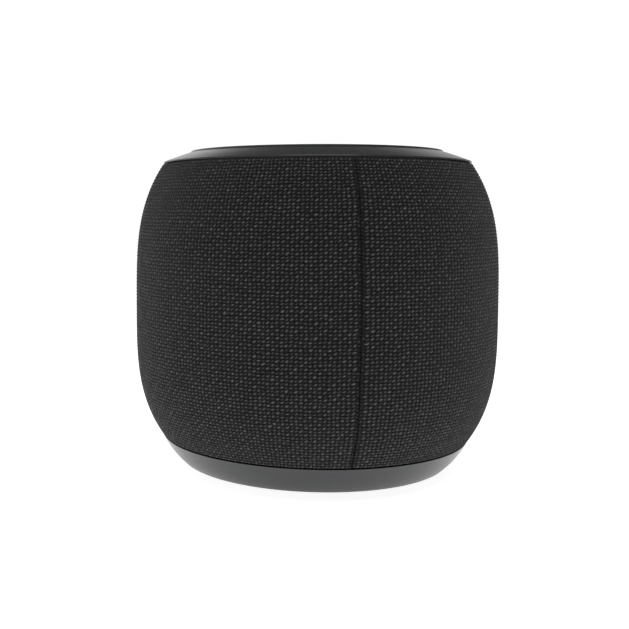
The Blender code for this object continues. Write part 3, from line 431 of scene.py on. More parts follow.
def weave_finish():
    """Black plain weave on the cloth's own map, one unit of which is the whole sleeve, with painted
    highlights on the yarn crowns and painted shade in the pits between them.
    """
    finish = Finish("black_weave", (0.018, 0.018, 0.019), 0.80, Sheen_Weight=0.08,
                    Sheen_Roughness=0.5, Specular_IOR_Level=0.08)
    flat = finish.node("ShaderNodeTexCoord").outputs["UV"]
    split = finish.node("ShaderNodeSeparateXYZ")
    finish.feed(split.inputs[0], flat)
    loose = finish.noise(1.0, 2.0, 0.6, (WARPS * 0.35, WEFTS * 0.35, 1.0), flat)
    slack = finish.noise(1.0, 2.0, 0.6, (WARPS * 0.31, WEFTS * 0.43, 4.0), flat)
    up = finish.maths("MULTIPLY_ADD", split.outputs["Y"], WEFTS, finish.range(slack, 0.3, 0.7, -0.22, 0.22))
    twist = finish.maths("MULTIPLY_ADD", finish.maths("FRACT", up), YARN_TWIST, -YARN_TWIST / 2)
    across = finish.maths("ADD", twist, finish.maths(
        "MULTIPLY_ADD", split.outputs["X"], WARPS, finish.range(loose, 0.3, 0.7, -0.20, 0.20)))
    turn_across = finish.maths("MULTIPLY", across, math.pi)
    turn_up = finish.maths("MULTIPLY", up, math.pi)
    sine_across = finish.maths("SINE", turn_across)
    sine_up = finish.maths("SINE", turn_up)
    sign_across = finish.maths("COSINE", finish.maths("MULTIPLY", finish.maths("FLOOR", across), math.pi))
    sign_up = finish.maths("COSINE", finish.maths("MULTIPLY", finish.maths("FLOOR", up), math.pi))
    warp = finish.maths("MULTIPLY_ADD", finish.maths("MULTIPLY", sign_across, sine_up), 0.45,
                        finish.maths("MULTIPLY", finish.maths("ABSOLUTE", sine_across), 0.55))
    weft = finish.maths("MULTIPLY_ADD", finish.maths("MULTIPLY", sign_up, sine_across), -0.45,
                        finish.maths("MULTIPLY", finish.maths("ABSOLUTE", sine_up), 0.55))
    height = finish.maths("MAXIMUM", warp, weft)
    warp_on_top = finish.maths("GREATER_THAN", warp, weft)
    warp_fibres = finish.noise(1.0, 3.0, 0.6, (WARPS * 5.0, WEFTS * 0.9, 1.0), flat)
    weft_fibres = finish.noise(1.0, 3.0, 0.6, (WARPS * 0.9, WEFTS * 5.0, 1.0), flat)
    chosen = finish.node("ShaderNodeMix", data_type="FLOAT")
    for place, value in zip((0, 2, 3), (warp_on_top, weft_fibres, warp_fibres)):
        finish.feed(chosen.inputs[place], value)
    fibres = chosen.outputs[0]
    single = finish.node("ShaderNodeTexWhiteNoise", noise_dimensions="2D")
    crossing = finish.node("ShaderNodeCombineXYZ")
    finish.feed(crossing.inputs[0], finish.maths("FLOOR", across))
    finish.feed(crossing.inputs[1], finish.maths("FLOOR", up))
    finish.feed(single.inputs["Vector"], crossing.outputs[0])
    uneven = finish.range(single.outputs["Value"], 0.0, 1.0, 0.70, 1.20)
    # The colour here is painted light. The crowns of the yarns get a painted highlight, most where the weft
    # lies on top, and the pits between the yarns get a near-black painted shade. It varies at random from one
    # crossing to the next and along the fibres.
    crown = finish.maths("POWER", finish.range(height, 0.40, 1.0, 0.0, 1.0), 2.8)
    painted_highlight = finish.maths("MULTIPLY", crown, finish.range(warp_on_top, 0.0, 1.0, 1.0, 0.45))
    painted_highlight = finish.maths("MULTIPLY", finish.maths("MULTIPLY", painted_highlight, uneven),
                          finish.range(fibres, 0.30, 0.70, 0.20, 1.80))
    # Along the seam the crown highlights are left out and the colour is a near-black painted shade in the
    # seam's groove.
    beside = finish.maths("PINGPONG", finish.maths("MULTIPLY", split.outputs["X"], WARPS), WARPS / 2)
    clear_of_seam_shade = finish.range(beside, 0.50, 0.80, 0.0, 1.0)
    tone = finish.mix(finish.maths("MULTIPLY", painted_highlight, clear_of_seam_shade),
                      (0.0040, 0.0040, 0.0043), (0.088, 0.088, 0.092))
    finish.feed(finish.shader.inputs["Base Color"], finish.mix(clear_of_seam_shade, (0.0012, 0.0012, 0.0012), tone))
    finish.relief(height, 0.00030)
    finish.relief(fibres, 0.00006)
    return finish.material


def make_finishes():
    made = {"cloth": weave_finish()}
    made["trim"] = moulded("satin_trim", (0.018, 0.019, 0.021), 0.30, 2600.0, 0.00001, 0.08,
                           Specular_IOR_Level=0.35, Coat_Weight=0.5, Coat_Roughness=0.12)
    made["shell"] = moulded("black_shell", (0.020, 0.020, 0.021), 0.55, 1500.0, 0.00004)
    made["panel"] = moulded("panel_black", (0.018, 0.018, 0.020), 0.42, 2200.0, 0.00002)
    made["rubber"] = moulded("black_rubber", (0.014, 0.014, 0.014), 0.82, 1100.0, 0.00005)
    made["diffuser"] = moulded("milky_diffuser", (0.74, 0.76, 0.78), 0.45, 1800.0, 0.00001, 0.03,
                               Subsurface_Weight=0.15)
    return made


def node_finishes(made):
    """The finishes of the inner pieces."""
    board = Finish("green_board", (0.02, 0.13, 0.06), 0.38, Coat_Weight=0.3)
    tracks = board.bands(220.0, "X", distortion=6.0)
    board.tint(board.range(tracks, 0.62, 0.70, 0.0, 1.0), (0.012, 0.10, 0.045), (0.030, 0.19, 0.080))
    board.relief(board.range(tracks, 0.62, 0.70, 0.0, 1.0), 0.00003)
    made["board"] = board.material

    for name, slot, colour, rough in (("zinc_steel", "steel", (0.60, 0.60, 0.58), 0.34),
                                      ("tinned_sheet", "tin", (0.68, 0.68, 0.67), 0.28),
                                      ("plain_aluminium", "aluminium", (0.74, 0.74, 0.75), 0.38)):
        metal = Finish(name, colour, rough, 1.0)
        scratches = metal.noise(900.0, 3.0, 0.6, (1.0, 14.0, 14.0))
        metal.tint(metal.noise(120.0, 3.0), shade(colour, 0.86), shade(colour, 1.06))
        metal.gloss(scratches, rough * 0.7, rough * 1.4)
        metal.relief(scratches, 0.000008)
        made[slot] = metal.material

    copper = Finish("copper_winding", (0.72, 0.36, 0.18), 0.32, 1.0)
    turns = copper.bands(1800.0, "Z")
    copper.tint(turns, (0.42, 0.18, 0.08), (0.80, 0.42, 0.22))
    copper.relief(turns, 0.00006)
    made["copper"] = copper.material

    made["ferrite"] = moulded("grey_ferrite", (0.060, 0.060, 0.065), 0.60, 900.0, 0.00006, 0.3)
    paper = Finish("cone_paper", (0.045, 0.045, 0.045), 0.88)
    pulp = paper.noise(700.0, 6.0, 0.7)
    paper.tint(pulp, (0.020, 0.020, 0.020), (0.080, 0.078, 0.074))
    paper.relief(pulp, 0.00012)
    made["paper"] = paper.material

    spider = Finish("spider_cloth", (0.60, 0.40, 0.14), 0.90)
    threads = spider.maths("MULTIPLY", spider.bands(900.0, "X"), spider.bands(900.0, "Y"))
    spider.tint(threads, (0.30, 0.18, 0.05), (0.66, 0.46, 0.18))
    spider.relief(threads, 0.00008)
    made["spider"] = spider.material

    foam = Finish("grey_foam", (0.12, 0.12, 0.12), 0.95)
    pores = foam.cells(1500.0)
    foam.tint(pores, (0.05, 0.05, 0.05), (0.17, 0.17, 0.17))
    foam.relief(pores, 0.00010)
    made["foam"] = foam.material

    ribbon = Finish("white_ribbon", (0.78, 0.78, 0.74), 0.48)
    wires = ribbon.bands(500.0, "X")
    ribbon.tint(wires, (0.60, 0.60, 0.57), (0.84, 0.84, 0.80))
    ribbon.relief(wires, 0.00008)
    made["ribbon"] = ribbon.material
    return made


# Skin

def sleeve_radius(z):
    share = (z - SLEEVE_MIDDLE) / SLEEVE_HALF
    power = SHOULDER_POWER if share > 0 else HIP_POWER
    return BODY_RADIUS - (BODY_RADIUS - EDGE_RADIUS) * abs(share) ** power


def sleeve_profile(rows):
    """Radius, height and outward direction at evenly spaced places up the cloth."""
    low, high = SLEEVE_BOTTOM + GAP, SLEEVE_TOP - GAP
    heights = np.linspace(low, high, 4001)
    radii = np.array([sleeve_radius(z) for z in heights])
    along = np.concatenate([[0], np.cumsum(np.hypot(np.diff(radii), np.diff(heights)))])
    at = np.linspace(0, along[-1], rows + 1)
    radius, height = np.interp(at, along, radii), np.interp(at, along, heights)
    slope_r, slope_z = np.gradient(radius, at), np.gradient(height, at)
    return radius, height, slope_z, -slope_r, along[-1]


def make_sleeve(finish):
    """The cloth: a flat grid with two points to each yarn, rolled up and sewn at the rear."""
    begin()
    columns, rows = 2 * WARPS, 2 * WEFTS
    bpy.ops.mesh.primitive_grid_add(x_subdivisions=columns, y_subdivisions=rows, size=2, calc_uvs=True)
    cloth = bpy.context.object
    cloth.name = cloth.data.name = "woven_sleeve"
    flat = np.zeros(len(cloth.data.vertices) * 3)
    cloth.data.vertices.foreach_get("co", flat)
    flat = flat.reshape(-1, 3)
    column = np.rint((flat[:, 0] + 1) / 2 * columns).astype(int)
    row = np.rint((flat[:, 1] + 1) / 2 * rows).astype(int)
    radius, height, out_r, out_z, length = sleeve_profile(rows)
    across, up = column / 2, row / 2
    warp = (YARN_RISE * np.cos(np.pi * np.floor(across)) * np.sin(np.pi * up)
            + YARN_ROUND * np.abs(np.sin(np.pi * across)))
    weft = (-YARN_RISE * np.cos(np.pi * np.floor(up)) * np.sin(np.pi * across)
            + YARN_ROUND * np.abs(np.sin(np.pi * up)))
    lift = np.maximum(warp, weft) - YARN_RISE - YARN_ROUND
    pitch = 2 * np.pi * BODY_RADIUS / columns
    # distance from the seam along the cloth, and how the cloth is drawn in to it
    away = np.where(column > columns / 2, column - columns, column) * pitch
    side = np.sign(away)
    near = np.exp(-(np.abs(away) - pitch) / SEAM_REACH)
    drawn = np.where(side == 0, 0.0, away - side * SEAM_DRAW * near)
    seam = side == 0
    lift = lift - np.where(seam, SEAM_GROOVE, SEAM_DIP * near)
    fade = np.sin(np.pi * np.clip(row / rows, 0, 1)) ** 0.5
    wander = (0.00012 * np.sin(row * 0.09) + 0.00007 * np.sin(row * 0.31 + 1.0)) * fade
    drawn = drawn + wander * np.exp(-np.abs(away) / 0.010)
    slant = np.where(side < 0, SEAM_SLANT * np.exp(-np.abs(away) / 0.012), 0.0) * fade
    turn = np.pi / 2 + drawn / BODY_RADIUS
    r = radius[row] + lift * out_r[row]
    z = height[row] + lift * out_z[row] + slant
    places = np.stack([r * np.cos(turn), r * np.sin(turn), z], axis=1)
    cloth.data.vertices.foreach_set("co", places.ravel())
    cloth.data.update()
    bpy.ops.object.mode_set(mode="EDIT")
    bpy.ops.mesh.select_all(action="SELECT")
    bpy.ops.mesh.remove_doubles(threshold=1e-6)
    # the cloth's other side, from the top edge down to the bottom one
    top = height[-1]
    bpy.ops.mesh.select_mode(type="EDGE")
    bpy.ops.mesh.select_all(action="DESELECT")
    bpy.ops.mesh.select_non_manifold()
    bpy.ops.object.mode_set(mode="OBJECT")
    for edge in cloth.data.edges:
        a, b = (cloth.data.vertices[i].co.z for i in edge.vertices)
        edge.select = edge.select and min(a, b) > SLEEVE_MIDDLE
    for vertex in cloth.data.vertices:
        vertex.select = False
    for edge in cloth.data.edges:
        if edge.select:
            for i in edge.vertices:
                cloth.data.vertices[i].select = True
    bpy.ops.object.mode_set(mode="EDIT")
    last = (radius[-1], top)
    for share in (1.0, 0.93, 0.75, 0.25, 0.0):
        z = height[0] + (top - height[0]) * share
        last = step_to(sleeve_radius(z) - CLOTH, z, last)
    bpy.ops.mesh.select_all(action="DESELECT")
    bpy.ops.mesh.select_non_manifold()
    bpy.ops.mesh.bridge_edge_loops()
    bpy.ops.object.mode_set(mode="OBJECT")
    settle(cloth, 80)
    dress(cloth, finish, "cloth", "housing", "fabric_sleeve")


def make_top_ring(finish):
    lip, rim, step = 0.0413, 0.0418, 0.0004
    inner = SPIGOT_RADIUS - SPIGOT_WALL
    drop = BODY_TOP - step - SLEEVE_TOP - 0.0005
    slope = [(rim + (EDGE_RADIUS - 0.0001 - rim) * t, BODY_TOP - step - drop * (0.88 * t + 0.12 * t * t))
             for t in (0.0, 0.2, 0.4, 0.6, 0.8, 1.0)]
    outline = ([(lip, BODY_TOP - 0.0002), (lip + 0.0001, BODY_TOP), (rim - 0.0001, BODY_TOP),
                (rim, BODY_TOP - 0.0001)] + slope
               + [(EDGE_RADIUS, SLEEVE_TOP + 0.0003), (EDGE_RADIUS, SLEEVE_TOP + 0.0001),
                  (EDGE_RADIUS - 0.0001, SLEEVE_TOP), (SPIGOT_RADIUS, SLEEVE_TOP),
                  (SPIGOT_RADIUS, SLEEVE_TOP - SPIGOT_HEIGHT), (inner, SLEEVE_TOP - SPIGOT_HEIGHT),
                  (inner, SLEEVE_TOP), (lip, BODY_TOP - RING_WALL), (lip, BODY_TOP - 0.0002)])
    ring = turned("top_trim", outline, 256, angle=28)
    return dress(ring, finish, "trim", "housing", "top_ring")


def make_bottom_ring(finish):
    """The lower ring, which rounds under a little more the nearer it comes to the table."""
    inner = SPIGOT_RADIUS - SPIGOT_WALL
    top = SLEEVE_BOTTOM
    fall = (top - 0.0003 - STANDOFF - 0.0002) / 6
    face = [(EDGE_RADIUS, top - 0.0003)]
    for step in range(6):
        lean = math.radians(28 + 20 * (step + 0.5) / 6)
        face.append((face[-1][0] - math.tan(lean) * fall, face[-1][1] - fall))
    low = face[-1][0] - 0.0003
    outline = ([(SPIGOT_RADIUS, top), (EDGE_RADIUS - 0.0001, top), (EDGE_RADIUS, top - 0.0001)] + face
               + [(low, STANDOFF), (low - RING_WALL, STANDOFF), (inner, top - RING_WALL),
                  (inner, top + SPIGOT_HEIGHT), (SPIGOT_RADIUS, top + SPIGOT_HEIGHT), (SPIGOT_RADIUS, top)])
    ring = turned("bottom_trim", outline, 256, angle=28)
    return dress(ring, finish, "trim", "housing", "bottom_ring")


# Underside

def around(radius, count, start=0.0):
    """Points (x, y) evenly round a circle, with start in degrees from +X."""
    turns = [math.radians(start + 360 * i / count) for i in range(count)]
    return [(radius * math.cos(t), radius * math.sin(t)) for t in turns]


def make_foot(finish):
    """The rubber ring that the speaker stands on, with two grooves in its sole and a gap for the cord."""
    inner, middle = FOOT_RADIUS - FOOT_WIDTH, FOOT_RADIUS - FOOT_WIDTH / 2
    sole = []
    for radius in (middle + GROOVE_SPREAD, middle - GROOVE_SPREAD):
        sole += [(radius + GROOVE_MOUTH, 0), (radius + GROOVE, GROOVE), (radius - GROOVE, GROOVE),
                 (radius - GROOVE_MOUTH, 0)]
    edge, lip = FOOT_ROUND, SMALL_EDGE
    outline = ([(FOOT_RADIUS - lip, FOOT_TOP), (FOOT_RADIUS, FOOT_TOP - lip)]
               + arc(FOOT_RADIUS - edge, edge, edge, 0, -90, 5) + sole
               + arc(inner + edge, edge, edge, 270, 180, 5)
               + [(inner, FOOT_TOP - lip), (inner + lip, FOOT_TOP), (FOOT_RADIUS - lip, FOOT_TOP)])
    foot = turned("foot_ring", outline, 160)
    cut(foot, block((-FOOT_SPLIT, 0, -2 * PAST), (FOOT_SPLIT, FOOT_RADIUS + 2 * PAST, FOOT_TOP + 2 * PAST)))
    soft_edges(foot, 0.00025, 2, 60)
    return dress(foot, finish, "rubber", "housing", "rubber_foot")


def make_base_plate(finish):
    """The floor of the speaker, with the pocket for the plug, the channel for the cord and the rests."""
    top = BASE_BOTTOM + BASE_FLOOR
    flare = BASE_RIM + BASE_FLARE
    plate = turned("base_floor", [(BASE_RIM - EDGE, BASE_BOTTOM), (BASE_RIM, BASE_BOTTOM + EDGE),
                                  (flare, top - EDGE), (flare - EDGE, top)])
    inside = BASE_BOTTOM + BASE_FLOOR / 2
    half, wall = POCKET_HALF, POCKET_WALL
    rests = [at for at in around(BOARD_REST_CIRCLE, 4) if at[1] < BOARD_REST_CIRCLE / 2]
    fuse(plate,
         block((-half - wall, POCKET_FRONT - wall, inside),
               (half + wall, POCKET_REAR + wall, POCKET_TOP + wall)),
         block((-CHANNEL_HALF - wall, POCKET_REAR, inside),
               (CHANNEL_HALF + wall, BASE_RIM - PAST, CHANNEL_TOP + wall)),
         *[rod(BOARD_REST_RADIUS, inside, BOARD_BOTTOM - GAP, at, 32) for at in rests])
    below = BASE_BOTTOM - PAST
    recess = BASE_BOTTOM + HEAD_HEIGHT + 2 * GAP
    seat_out, seat_in, seat_top = FOOT_RADIUS + GAP, FOOT_RADIUS - FOOT_WIDTH - GAP, FOOT_TOP + GAP
    cut(plate, turned("foot_seat", [(seat_out, below), (seat_out, seat_top), (seat_in, seat_top),
                                    (seat_in, below), (seat_out, below)]))
    cut(plate, block((-half, POCKET_FRONT, below - PAST), (half, POCKET_REAR, POCKET_TOP)))
    cut(plate, block((-CHANNEL_HALF, POCKET_REAR - wall, below - 2 * PAST),
                     (CHANNEL_HALF, flare + PAST, CHANNEL_TOP)))
    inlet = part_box("power_inlet")
    cut(plate, block((-INLET_HALF, POCKET_FRONT - 2 * wall, inlet[0][2] - GAP),
                     (INLET_HALF, POCKET_FRONT + wall, inlet[1][2] + GAP)))
    for at in around(BASE_SCREW_CIRCLE, 4, 45):
        cut(plate, rod(SCREW_HEAD + GAP, below, recess, at, 40))
        cut(plate, rod(SCREW_SHANK + GAP, below, top + PAST, at, 32))
    soft_edges(plate, SMALL_EDGE, 2, 60)
    return dress(plate, finish, "shell", "housing", "base_plate")


def make_screw(node, head_up):
    """A pan-head screw with a cross in its head, made on the Z axis to its node's length."""
    low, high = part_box(node)
    tip, head = (low[2], high[2]) if head_up > 0 else (high[2], low[2])
    under = head - head_up * HEAD_HEIGHT
    root, crest = SCREW_SHANK * THREAD_ROOT, SCREW_SHANK
    height = tip + head_up * THREAD
    outline = [(SCREW_SHANK * POINT, tip), (root, height)]
    while abs(under - height) > 1.5 * THREAD:
        outline += [(crest, height + head_up * THREAD * 0.5), (root, height + head_up * THREAD)]
        height += head_up * THREAD
    outline += [(SCREW_SHANK * NECK, under), (SCREW_HEAD - HEAD_EDGE, under),
                (SCREW_HEAD, under + head_up * HEAD_EDGE), (SCREW_HEAD, under + head_up * HEAD_SIDE),
                (SCREW_HEAD * 0.90, under + head_up * HEAD_SHOULDER), (SCREW_HEAD * 0.62, head)]
    screw = turned("screw", outline, 24)
    start, end = sorted((head + head_up * PAST, head - head_up * CROSS_DEPTH))
    reach, wide = CROSS_REACH, CROSS_WIDTH
    cut(screw, fuse(block((-reach, -wide, start), (reach, wide, end)),
                    block((-wide, -reach, start), (wide, reach, end))))
    return settle(screw)


def make_screws(finish):
    """Each length of screw is modelled once and copied to its places."""
    for name, node, count, head_up in (("base_fixing", "base_screw", 4, -1),
                                       ("clamp_fixing", "clamp_screw", 3, 1),
                                       ("deck_fixing", "deck_screw", 2, 1)):
        model = make_screw(f"{node}_1", head_up)
        for number in range(1, count + 1):
            low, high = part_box(f"{node}_{number}")
            at = ((low[0] + high[0]) / 2, (low[1] + high[1]) / 2, 0)
            dress(copied(model, f"{name}_{number}", at), finish, "steel", "housing", f"{node}_{number}")
        bpy.data.objects.remove(model)


# Controls

def make_panel(finish):
    panel = turned("control_panel", [(PANEL_RADIUS - EDGE, PANEL_BOTTOM), (PANEL_RADIUS, PANEL_BOTTOM + EDGE),
                                     (PANEL_RADIUS, PANEL_TOP - EDGE), (PANEL_RADIUS - EDGE, PANEL_TOP)], 192)
    low, high = PANEL_BOTTOM - PAST, PANEL_TOP + PAST
    for at in around(BUTTON_CIRCLE, 4):
        cut(panel, rod(BUTTON_RADIUS + GAP, low, high, at, 96))
    for x in (-MIC_CIRCLE, MIC_CIRCLE):
        cut(panel, rod(MIC_HOLE, low, high, (x, 0), 32))
    soft_edges(panel, SMALL_EDGE, 3, 60)
    return dress(panel, finish, "panel", "housing", "top_panel")


def make_light_ring(finish):
    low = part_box("light_ring")[0][2]
    middle = (LIGHT_INNER + LIGHT_OUTER) / 2
    crown = [(LIGHT_OUTER - SMALL_EDGE, PANEL_TOP - 0.00015), (middle + 0.0008, PANEL_TOP - 0.00003),
             (middle, PANEL_TOP), (middle - 0.0008, PANEL_TOP - 0.00003),
             (LIGHT_INNER + SMALL_EDGE, PANEL_TOP - 0.00015)]
    ring = turned("light_pipe", [(LIGHT_OUTER, low), (LIGHT_OUTER, PANEL_TOP - 0.0004)] + crown
                  + [(LIGHT_INNER, PANEL_TOP - 0.0004), (LIGHT_INNER, low), (LIGHT_OUTER, low)], 192)
    return dress(ring, finish, "diffuser", "housing", "light_ring")


def make_button():
    """A press button on the Z axis, with a dished top, a lip under the panel and a stem over its switch."""
    lip_low = BUTTON_LIP_TOP - BUTTON_LIP_HEIGHT
    outline = ([(BUTTON_STEM, STEM_BOTTOM), (BUTTON_STEM, lip_low), (BUTTON_LIP, lip_low),
                (BUTTON_LIP, BUTTON_LIP_TOP), (BUTTON_RADIUS, BUTTON_LIP_TOP)]
               + arc(BUTTON_RADIUS - 0.0004, BUTTON_TOP - 0.0004, 0.0004, 0, 90, 6)
               + [(BUTTON_RADIUS - 0.0008, BUTTON_TOP - 0.00003),
                  (BUTTON_RADIUS - 0.0014, BUTTON_TOP - 0.00015),
                  (BUTTON_RADIUS - 0.0020, BUTTON_FLOOR + 0.00002), (BUTTON_RADIUS - 0.0026, BUTTON_FLOOR)])
    return turned("button", outline, 96, angle=40)


def bar(length, width, at, turn=0.0, shift=(0.0, 0.0)):
    """A raised bar of a mark, lying on a button's floor."""
    piece = block((-length / 2, -width / 2, MARK_BOTTOM), (length / 2, width / 2, MARK_TOP), turn)
    piece.location = (at[0] + shift[0], at[1] + shift[1], 0)
    bpy.ops.object.transform_apply(location=True, rotation=True, scale=True)
    return piece


def make_mark(name, body, finish, *bars):
    mark = fuse(*bars)
    mark.name = mark.data.name = name
    soft_edges(mark, 0.00005, 2, 40)
    return dress(mark, finish, "diffuser", body)


def make_buttons(finish, light):
    spots = dict(zip(("volume_up", "mic_mute", "volume_down", "action"), around(BUTTON_CIRCLE, 4)))
    model = make_button()
    for body, at in spots.items():
        dress(copied(model, f"{body}_cap", (*at, 0)), finish, "panel", body, f"{body}_button")
    bpy.data.objects.remove(model)
    long, wide = 0.0040, 0.0006
    up, down, mute, act = (spots[n] for n in ("volume_up", "volume_down", "mic_mute", "action"))
    make_mark("volume_up_mark", "volume_up", light, bar(long, wide, up), bar(wide, long, up))
    make_mark("volume_down_mark", "volume_down", light, bar(long, wide, down))
    capsule = rod(0.0008, MARK_BOTTOM, MARK_TOP, (mute[0], mute[1] + 0.0010), 32)
    make_mark("mic_mute_mark", "mic_mute", light, bar(0.0016, 0.0014, mute, shift=(0.0, 0.0003)), capsule,
              rod(0.0008, MARK_BOTTOM, MARK_TOP, (mute[0], mute[1] - 0.0004), 32),
              bar(0.0004, 0.0010, mute, shift=(0.0, -0.0014)),
              bar(0.0018, 0.0004, mute, shift=(0.0, -0.0019)),
              bar(0.0052, 0.0004, mute, math.radians(45)))
    make_mark("action_mark", "action", light, rod(0.0009, MARK_BOTTOM, MARK_TOP, act, 48))


# Inside

def make_inner_rounds(made):
    """The soft round pieces of the woofer and the radiators, at their nodes' places."""
    low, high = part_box("enclosure_seal")
    outer, thick = high[0], high[2] - low[2]
    inner = outer - SEAL_WIDTH
    seal = turned("foam_seal", arc(outer - thick / 2, low[2] + thick / 2, thick / 2, -90, 90, 6)
                  + arc(inner + thick / 2, low[2] + thick / 2, thick / 2, 90, 270, 6)
                  + [(outer - thick / 2, low[2])], 128)
    dress(seal, made["foam"], "foam", "housing", "enclosure_seal")

    low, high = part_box("woofer_surround")
    roll = high[2] - low[2]
    middle, top = high[0] - roll, high[2]
    surround = turned("woofer_roll", arc(middle, top, roll, 180, 360, 14)
                      + arc(middle, top, roll - ROLL_WALL, 360, 180, 14) + [(middle - roll, top)], 128)
    dress(surround, made["rubber"], "rubber", "housing", "woofer_surround")

    low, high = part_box("woofer_spider")
    reach, hole, steps = high[0], SPIDER_HOLE, 36
    middle = (low[2] + high[2]) / 2 - 0.00035
    waves = [(hole + (reach - hole) * i / steps,
              middle + SPIDER_WAVE * math.sin(4 * math.pi * i / steps)) for i in range(steps + 1)]
    back = [(r, z + SPIDER_THICK) for r, z in waves[::-1]]
    spider = turned("spider_disc", waves + back + [waves[0]], 128, angle=50)
    dress(spider, made["spider"], "spider", "housing", "woofer_spider")

    low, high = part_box("right_radiator_surround")
    deep, reach, height = high[0] - low[0], (high[2] - low[2]) / 2, (high[2] + low[2]) / 2
    model = turned("roll", arc(reach - deep, 0.0, deep, 0, 180, 14)
                   + arc(reach - deep, 0.0, deep - ROLL_WALL, 180, 0, 14) + [(reach, 0.0)], 128)
    for side, sign in (("left", -1), ("right", 1)):
        ring = copied(model, f"{side}_roll", (sign * low[0], 0, height), (0, sign * math.pi / 2, 0))
        dress(ring, made["rubber"], "rubber", "housing", f"{side}_radiator_surround")
    bpy.data.objects.remove(model)

    low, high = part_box("right_mic_seal")
    reach = (high[0] - low[0]) / 2
    edge, bottom, top = SMALL_EDGE, low[2], high[2]
    outline = [(reach - edge, bottom), (reach, bottom + edge), (reach, top - edge), (reach - edge, top),
               (MIC_HOLE, top), (MIC_HOLE, bottom), (reach - edge, bottom)]
    model = turned("boot", outline, 64)
    for side, x in (("left", -MIC_CIRCLE), ("right", MIC_CIRCLE)):
        boot = copied(model, f"{side}_mic_boot", (x, 0, 0))
        dress(boot, made["rubber"], "rubber", "housing", f"{side}_mic_seal")
    bpy.data.objects.remove(model)


# Studio

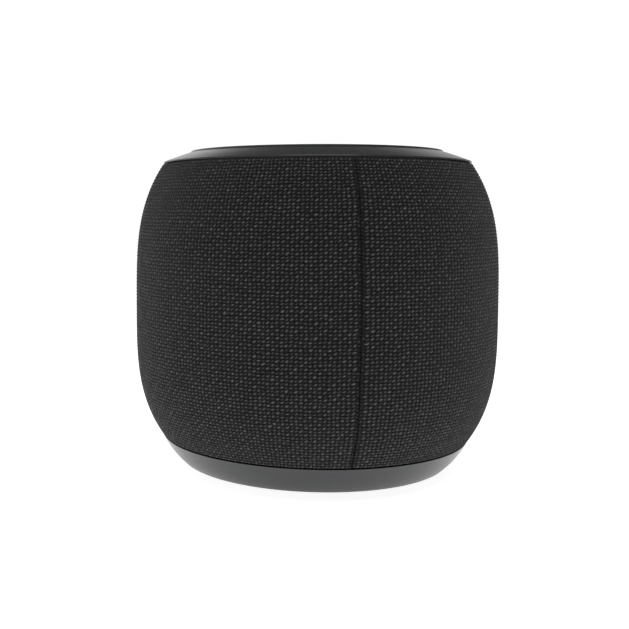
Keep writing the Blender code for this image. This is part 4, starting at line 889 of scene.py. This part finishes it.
def make_studio():
    """White walls up to the eye and a dim ceiling, over a pale floor whose glow holds a painted shadow under
    the speaker, with one soft box overhead.
    """
    world = bpy.data.worlds.new("studio")
    bpy.context.scene.world = world
    world.use_nodes = True
    nodes, links = world.node_tree.nodes, world.node_tree.links
    walls = nodes["Background"]
    backdrop = nodes.new("ShaderNodeBackground")
    backdrop.inputs["Color"].default_value = (1, 1, 1, 1)
    backdrop.inputs["Strength"].default_value = 1.05
    facing = nodes.new("ShaderNodeSeparateXYZ")
    links.new(nodes.new("ShaderNodeTexCoord").outputs["Generated"], facing.inputs[0])

    def graded(axis, *limits):
        ramp = nodes.new("ShaderNodeMapRange")
        ramp.interpolation_type = "SMOOTHSTEP"
        for socket, value in zip(ramp.inputs[1:5], limits):
            socket.default_value = value
        links.new(facing.outputs[axis], ramp.inputs[0])
        return ramp

    near = graded("Y", -0.3, 0.6, BACK_WALL_LIGHT, WALL_LIGHT)
    side = graded("X", -0.8, 0.1, SIDE_SHADE, 1.0)
    fall = graded("Z", 0.27, 0.56, 1.0, CEILING_LIGHT)
    wall = nodes.new("ShaderNodeMath")
    wall.operation = "MULTIPLY"
    links.new(near.outputs[0], wall.inputs[0])
    links.new(side.outputs[0], wall.inputs[1])
    links.new(wall.outputs[0], fall.inputs[3])
    links.new(fall.outputs[0], walls.inputs["Strength"])
    walls.inputs["Color"].default_value = (1, 1, 1, 1)
    choice = nodes.new("ShaderNodeMixShader")
    links.new(nodes.new("ShaderNodeLightPath").outputs["Is Camera Ray"], choice.inputs[0])
    links.new(walls.outputs[0], choice.inputs[1])
    links.new(backdrop.outputs[0], choice.inputs[2])
    links.new(choice.outputs[0], nodes["World Output"].inputs["Surface"])
    begin()
    bpy.ops.mesh.primitive_plane_add(size=8, location=(0, 0, 0))
    floor = bpy.context.object
    floor.name = "floor"
    pale = Finish("pale_floor", (0.80, 0.80, 0.80), 0.9)
    pale.set("Emission Color", (1, 1, 1, 1))
    # The camera sees the floor evenly lit, but the light that it throws back on the speaker is painted: a dim
    # glow right under the speaker as a painted shadow, a brighter ring round it as painted light, then an
    # even glow further out.
    away = pale.node("ShaderNodeVectorMath", operation="LENGTH")
    pale.feed(away.inputs[0], pale.where)
    rise = pale.range(away.outputs["Value"], 0.047, 0.085, PAINTED_FLOOR_SHADOW, PAINTED_FLOOR_GLOW)
    painted_floor_light = pale.maths("MINIMUM", rise, pale.range(away.outputs["Value"], 0.10, 0.18, PAINTED_FLOOR_GLOW, FLOOR_FAR))
    seen = pale.node("ShaderNodeLightPath").outputs["Is Camera Ray"]
    pale.feed(pale.shader.inputs["Emission Strength"], pale.range(seen, 0.0, 1.0, painted_floor_light, 0.9))
    floor.data.materials.append(pale.material)
    soft_light("soft_box", (0.05, 0.35, 0.95), (0, 0, 0.06), (0.7, 0.7), SOFT_BOX_POWER)
    bpy.context.scene.view_settings.view_transform = "Standard"


def soft_light(name, place, aim, size, power):
    lamp = bpy.data.lights.new(name, "AREA")
    lamp.shape = "RECTANGLE"
    lamp.size, lamp.size_y = size
    lamp.energy = power
    holder = bpy.data.objects.new(name, lamp)
    bpy.context.scene.collection.objects.link(holder)
    holder.location = place
    holder.rotation_euler = (Vector(aim) - Vector(place)).to_track_quat("-Z", "Y").to_euler()


def make_camera():
    """The camera looks a little down on the rear of the speaker, beside its seam."""
    side = math.radians(CAMERA_SIDE)
    lens = bpy.data.cameras.new("camera")
    lens.sensor_width = 36
    lens.lens = LENS
    lens.shift_x, lens.shift_y = LENS_SHIFT
    lens.clip_start = 0.01
    camera = bpy.data.objects.new("camera", lens)
    bpy.context.scene.collection.objects.link(camera)
    camera.location = (CAMERA_DISTANCE * math.cos(side), CAMERA_DISTANCE * math.sin(side), CAMERA_HEIGHT)
    camera.rotation_mode = "QUATERNION"
    facing = Euler((math.radians(CAMERA_TILT), 0, side + math.radians(CAMERA_TURN))).to_quaternion()
    camera.rotation_quaternion = facing @ Quaternion((0, 0, 1), math.radians(CAMERA_ROLL))
    bpy.context.scene.camera = camera


make_camera()
finishes = node_finishes(make_finishes())
for entry in frame["record"]["subparts"]:
    node = frame["nodes"][entry["node"]]
    node.data.materials.clear()
    node.data.materials.append(finishes[entry["material_slot"]])
make_sleeve(finishes["cloth"])
make_top_ring(finishes["trim"])
make_bottom_ring(finishes["trim"])
make_foot(finishes["rubber"])
make_base_plate(finishes["shell"])
make_screws(finishes["steel"])
make_panel(finishes["panel"])
make_light_ring(finishes["diffuser"])
make_buttons(finishes["panel"], finishes["diffuser"])
make_inner_rounds(finishes)
make_studio()
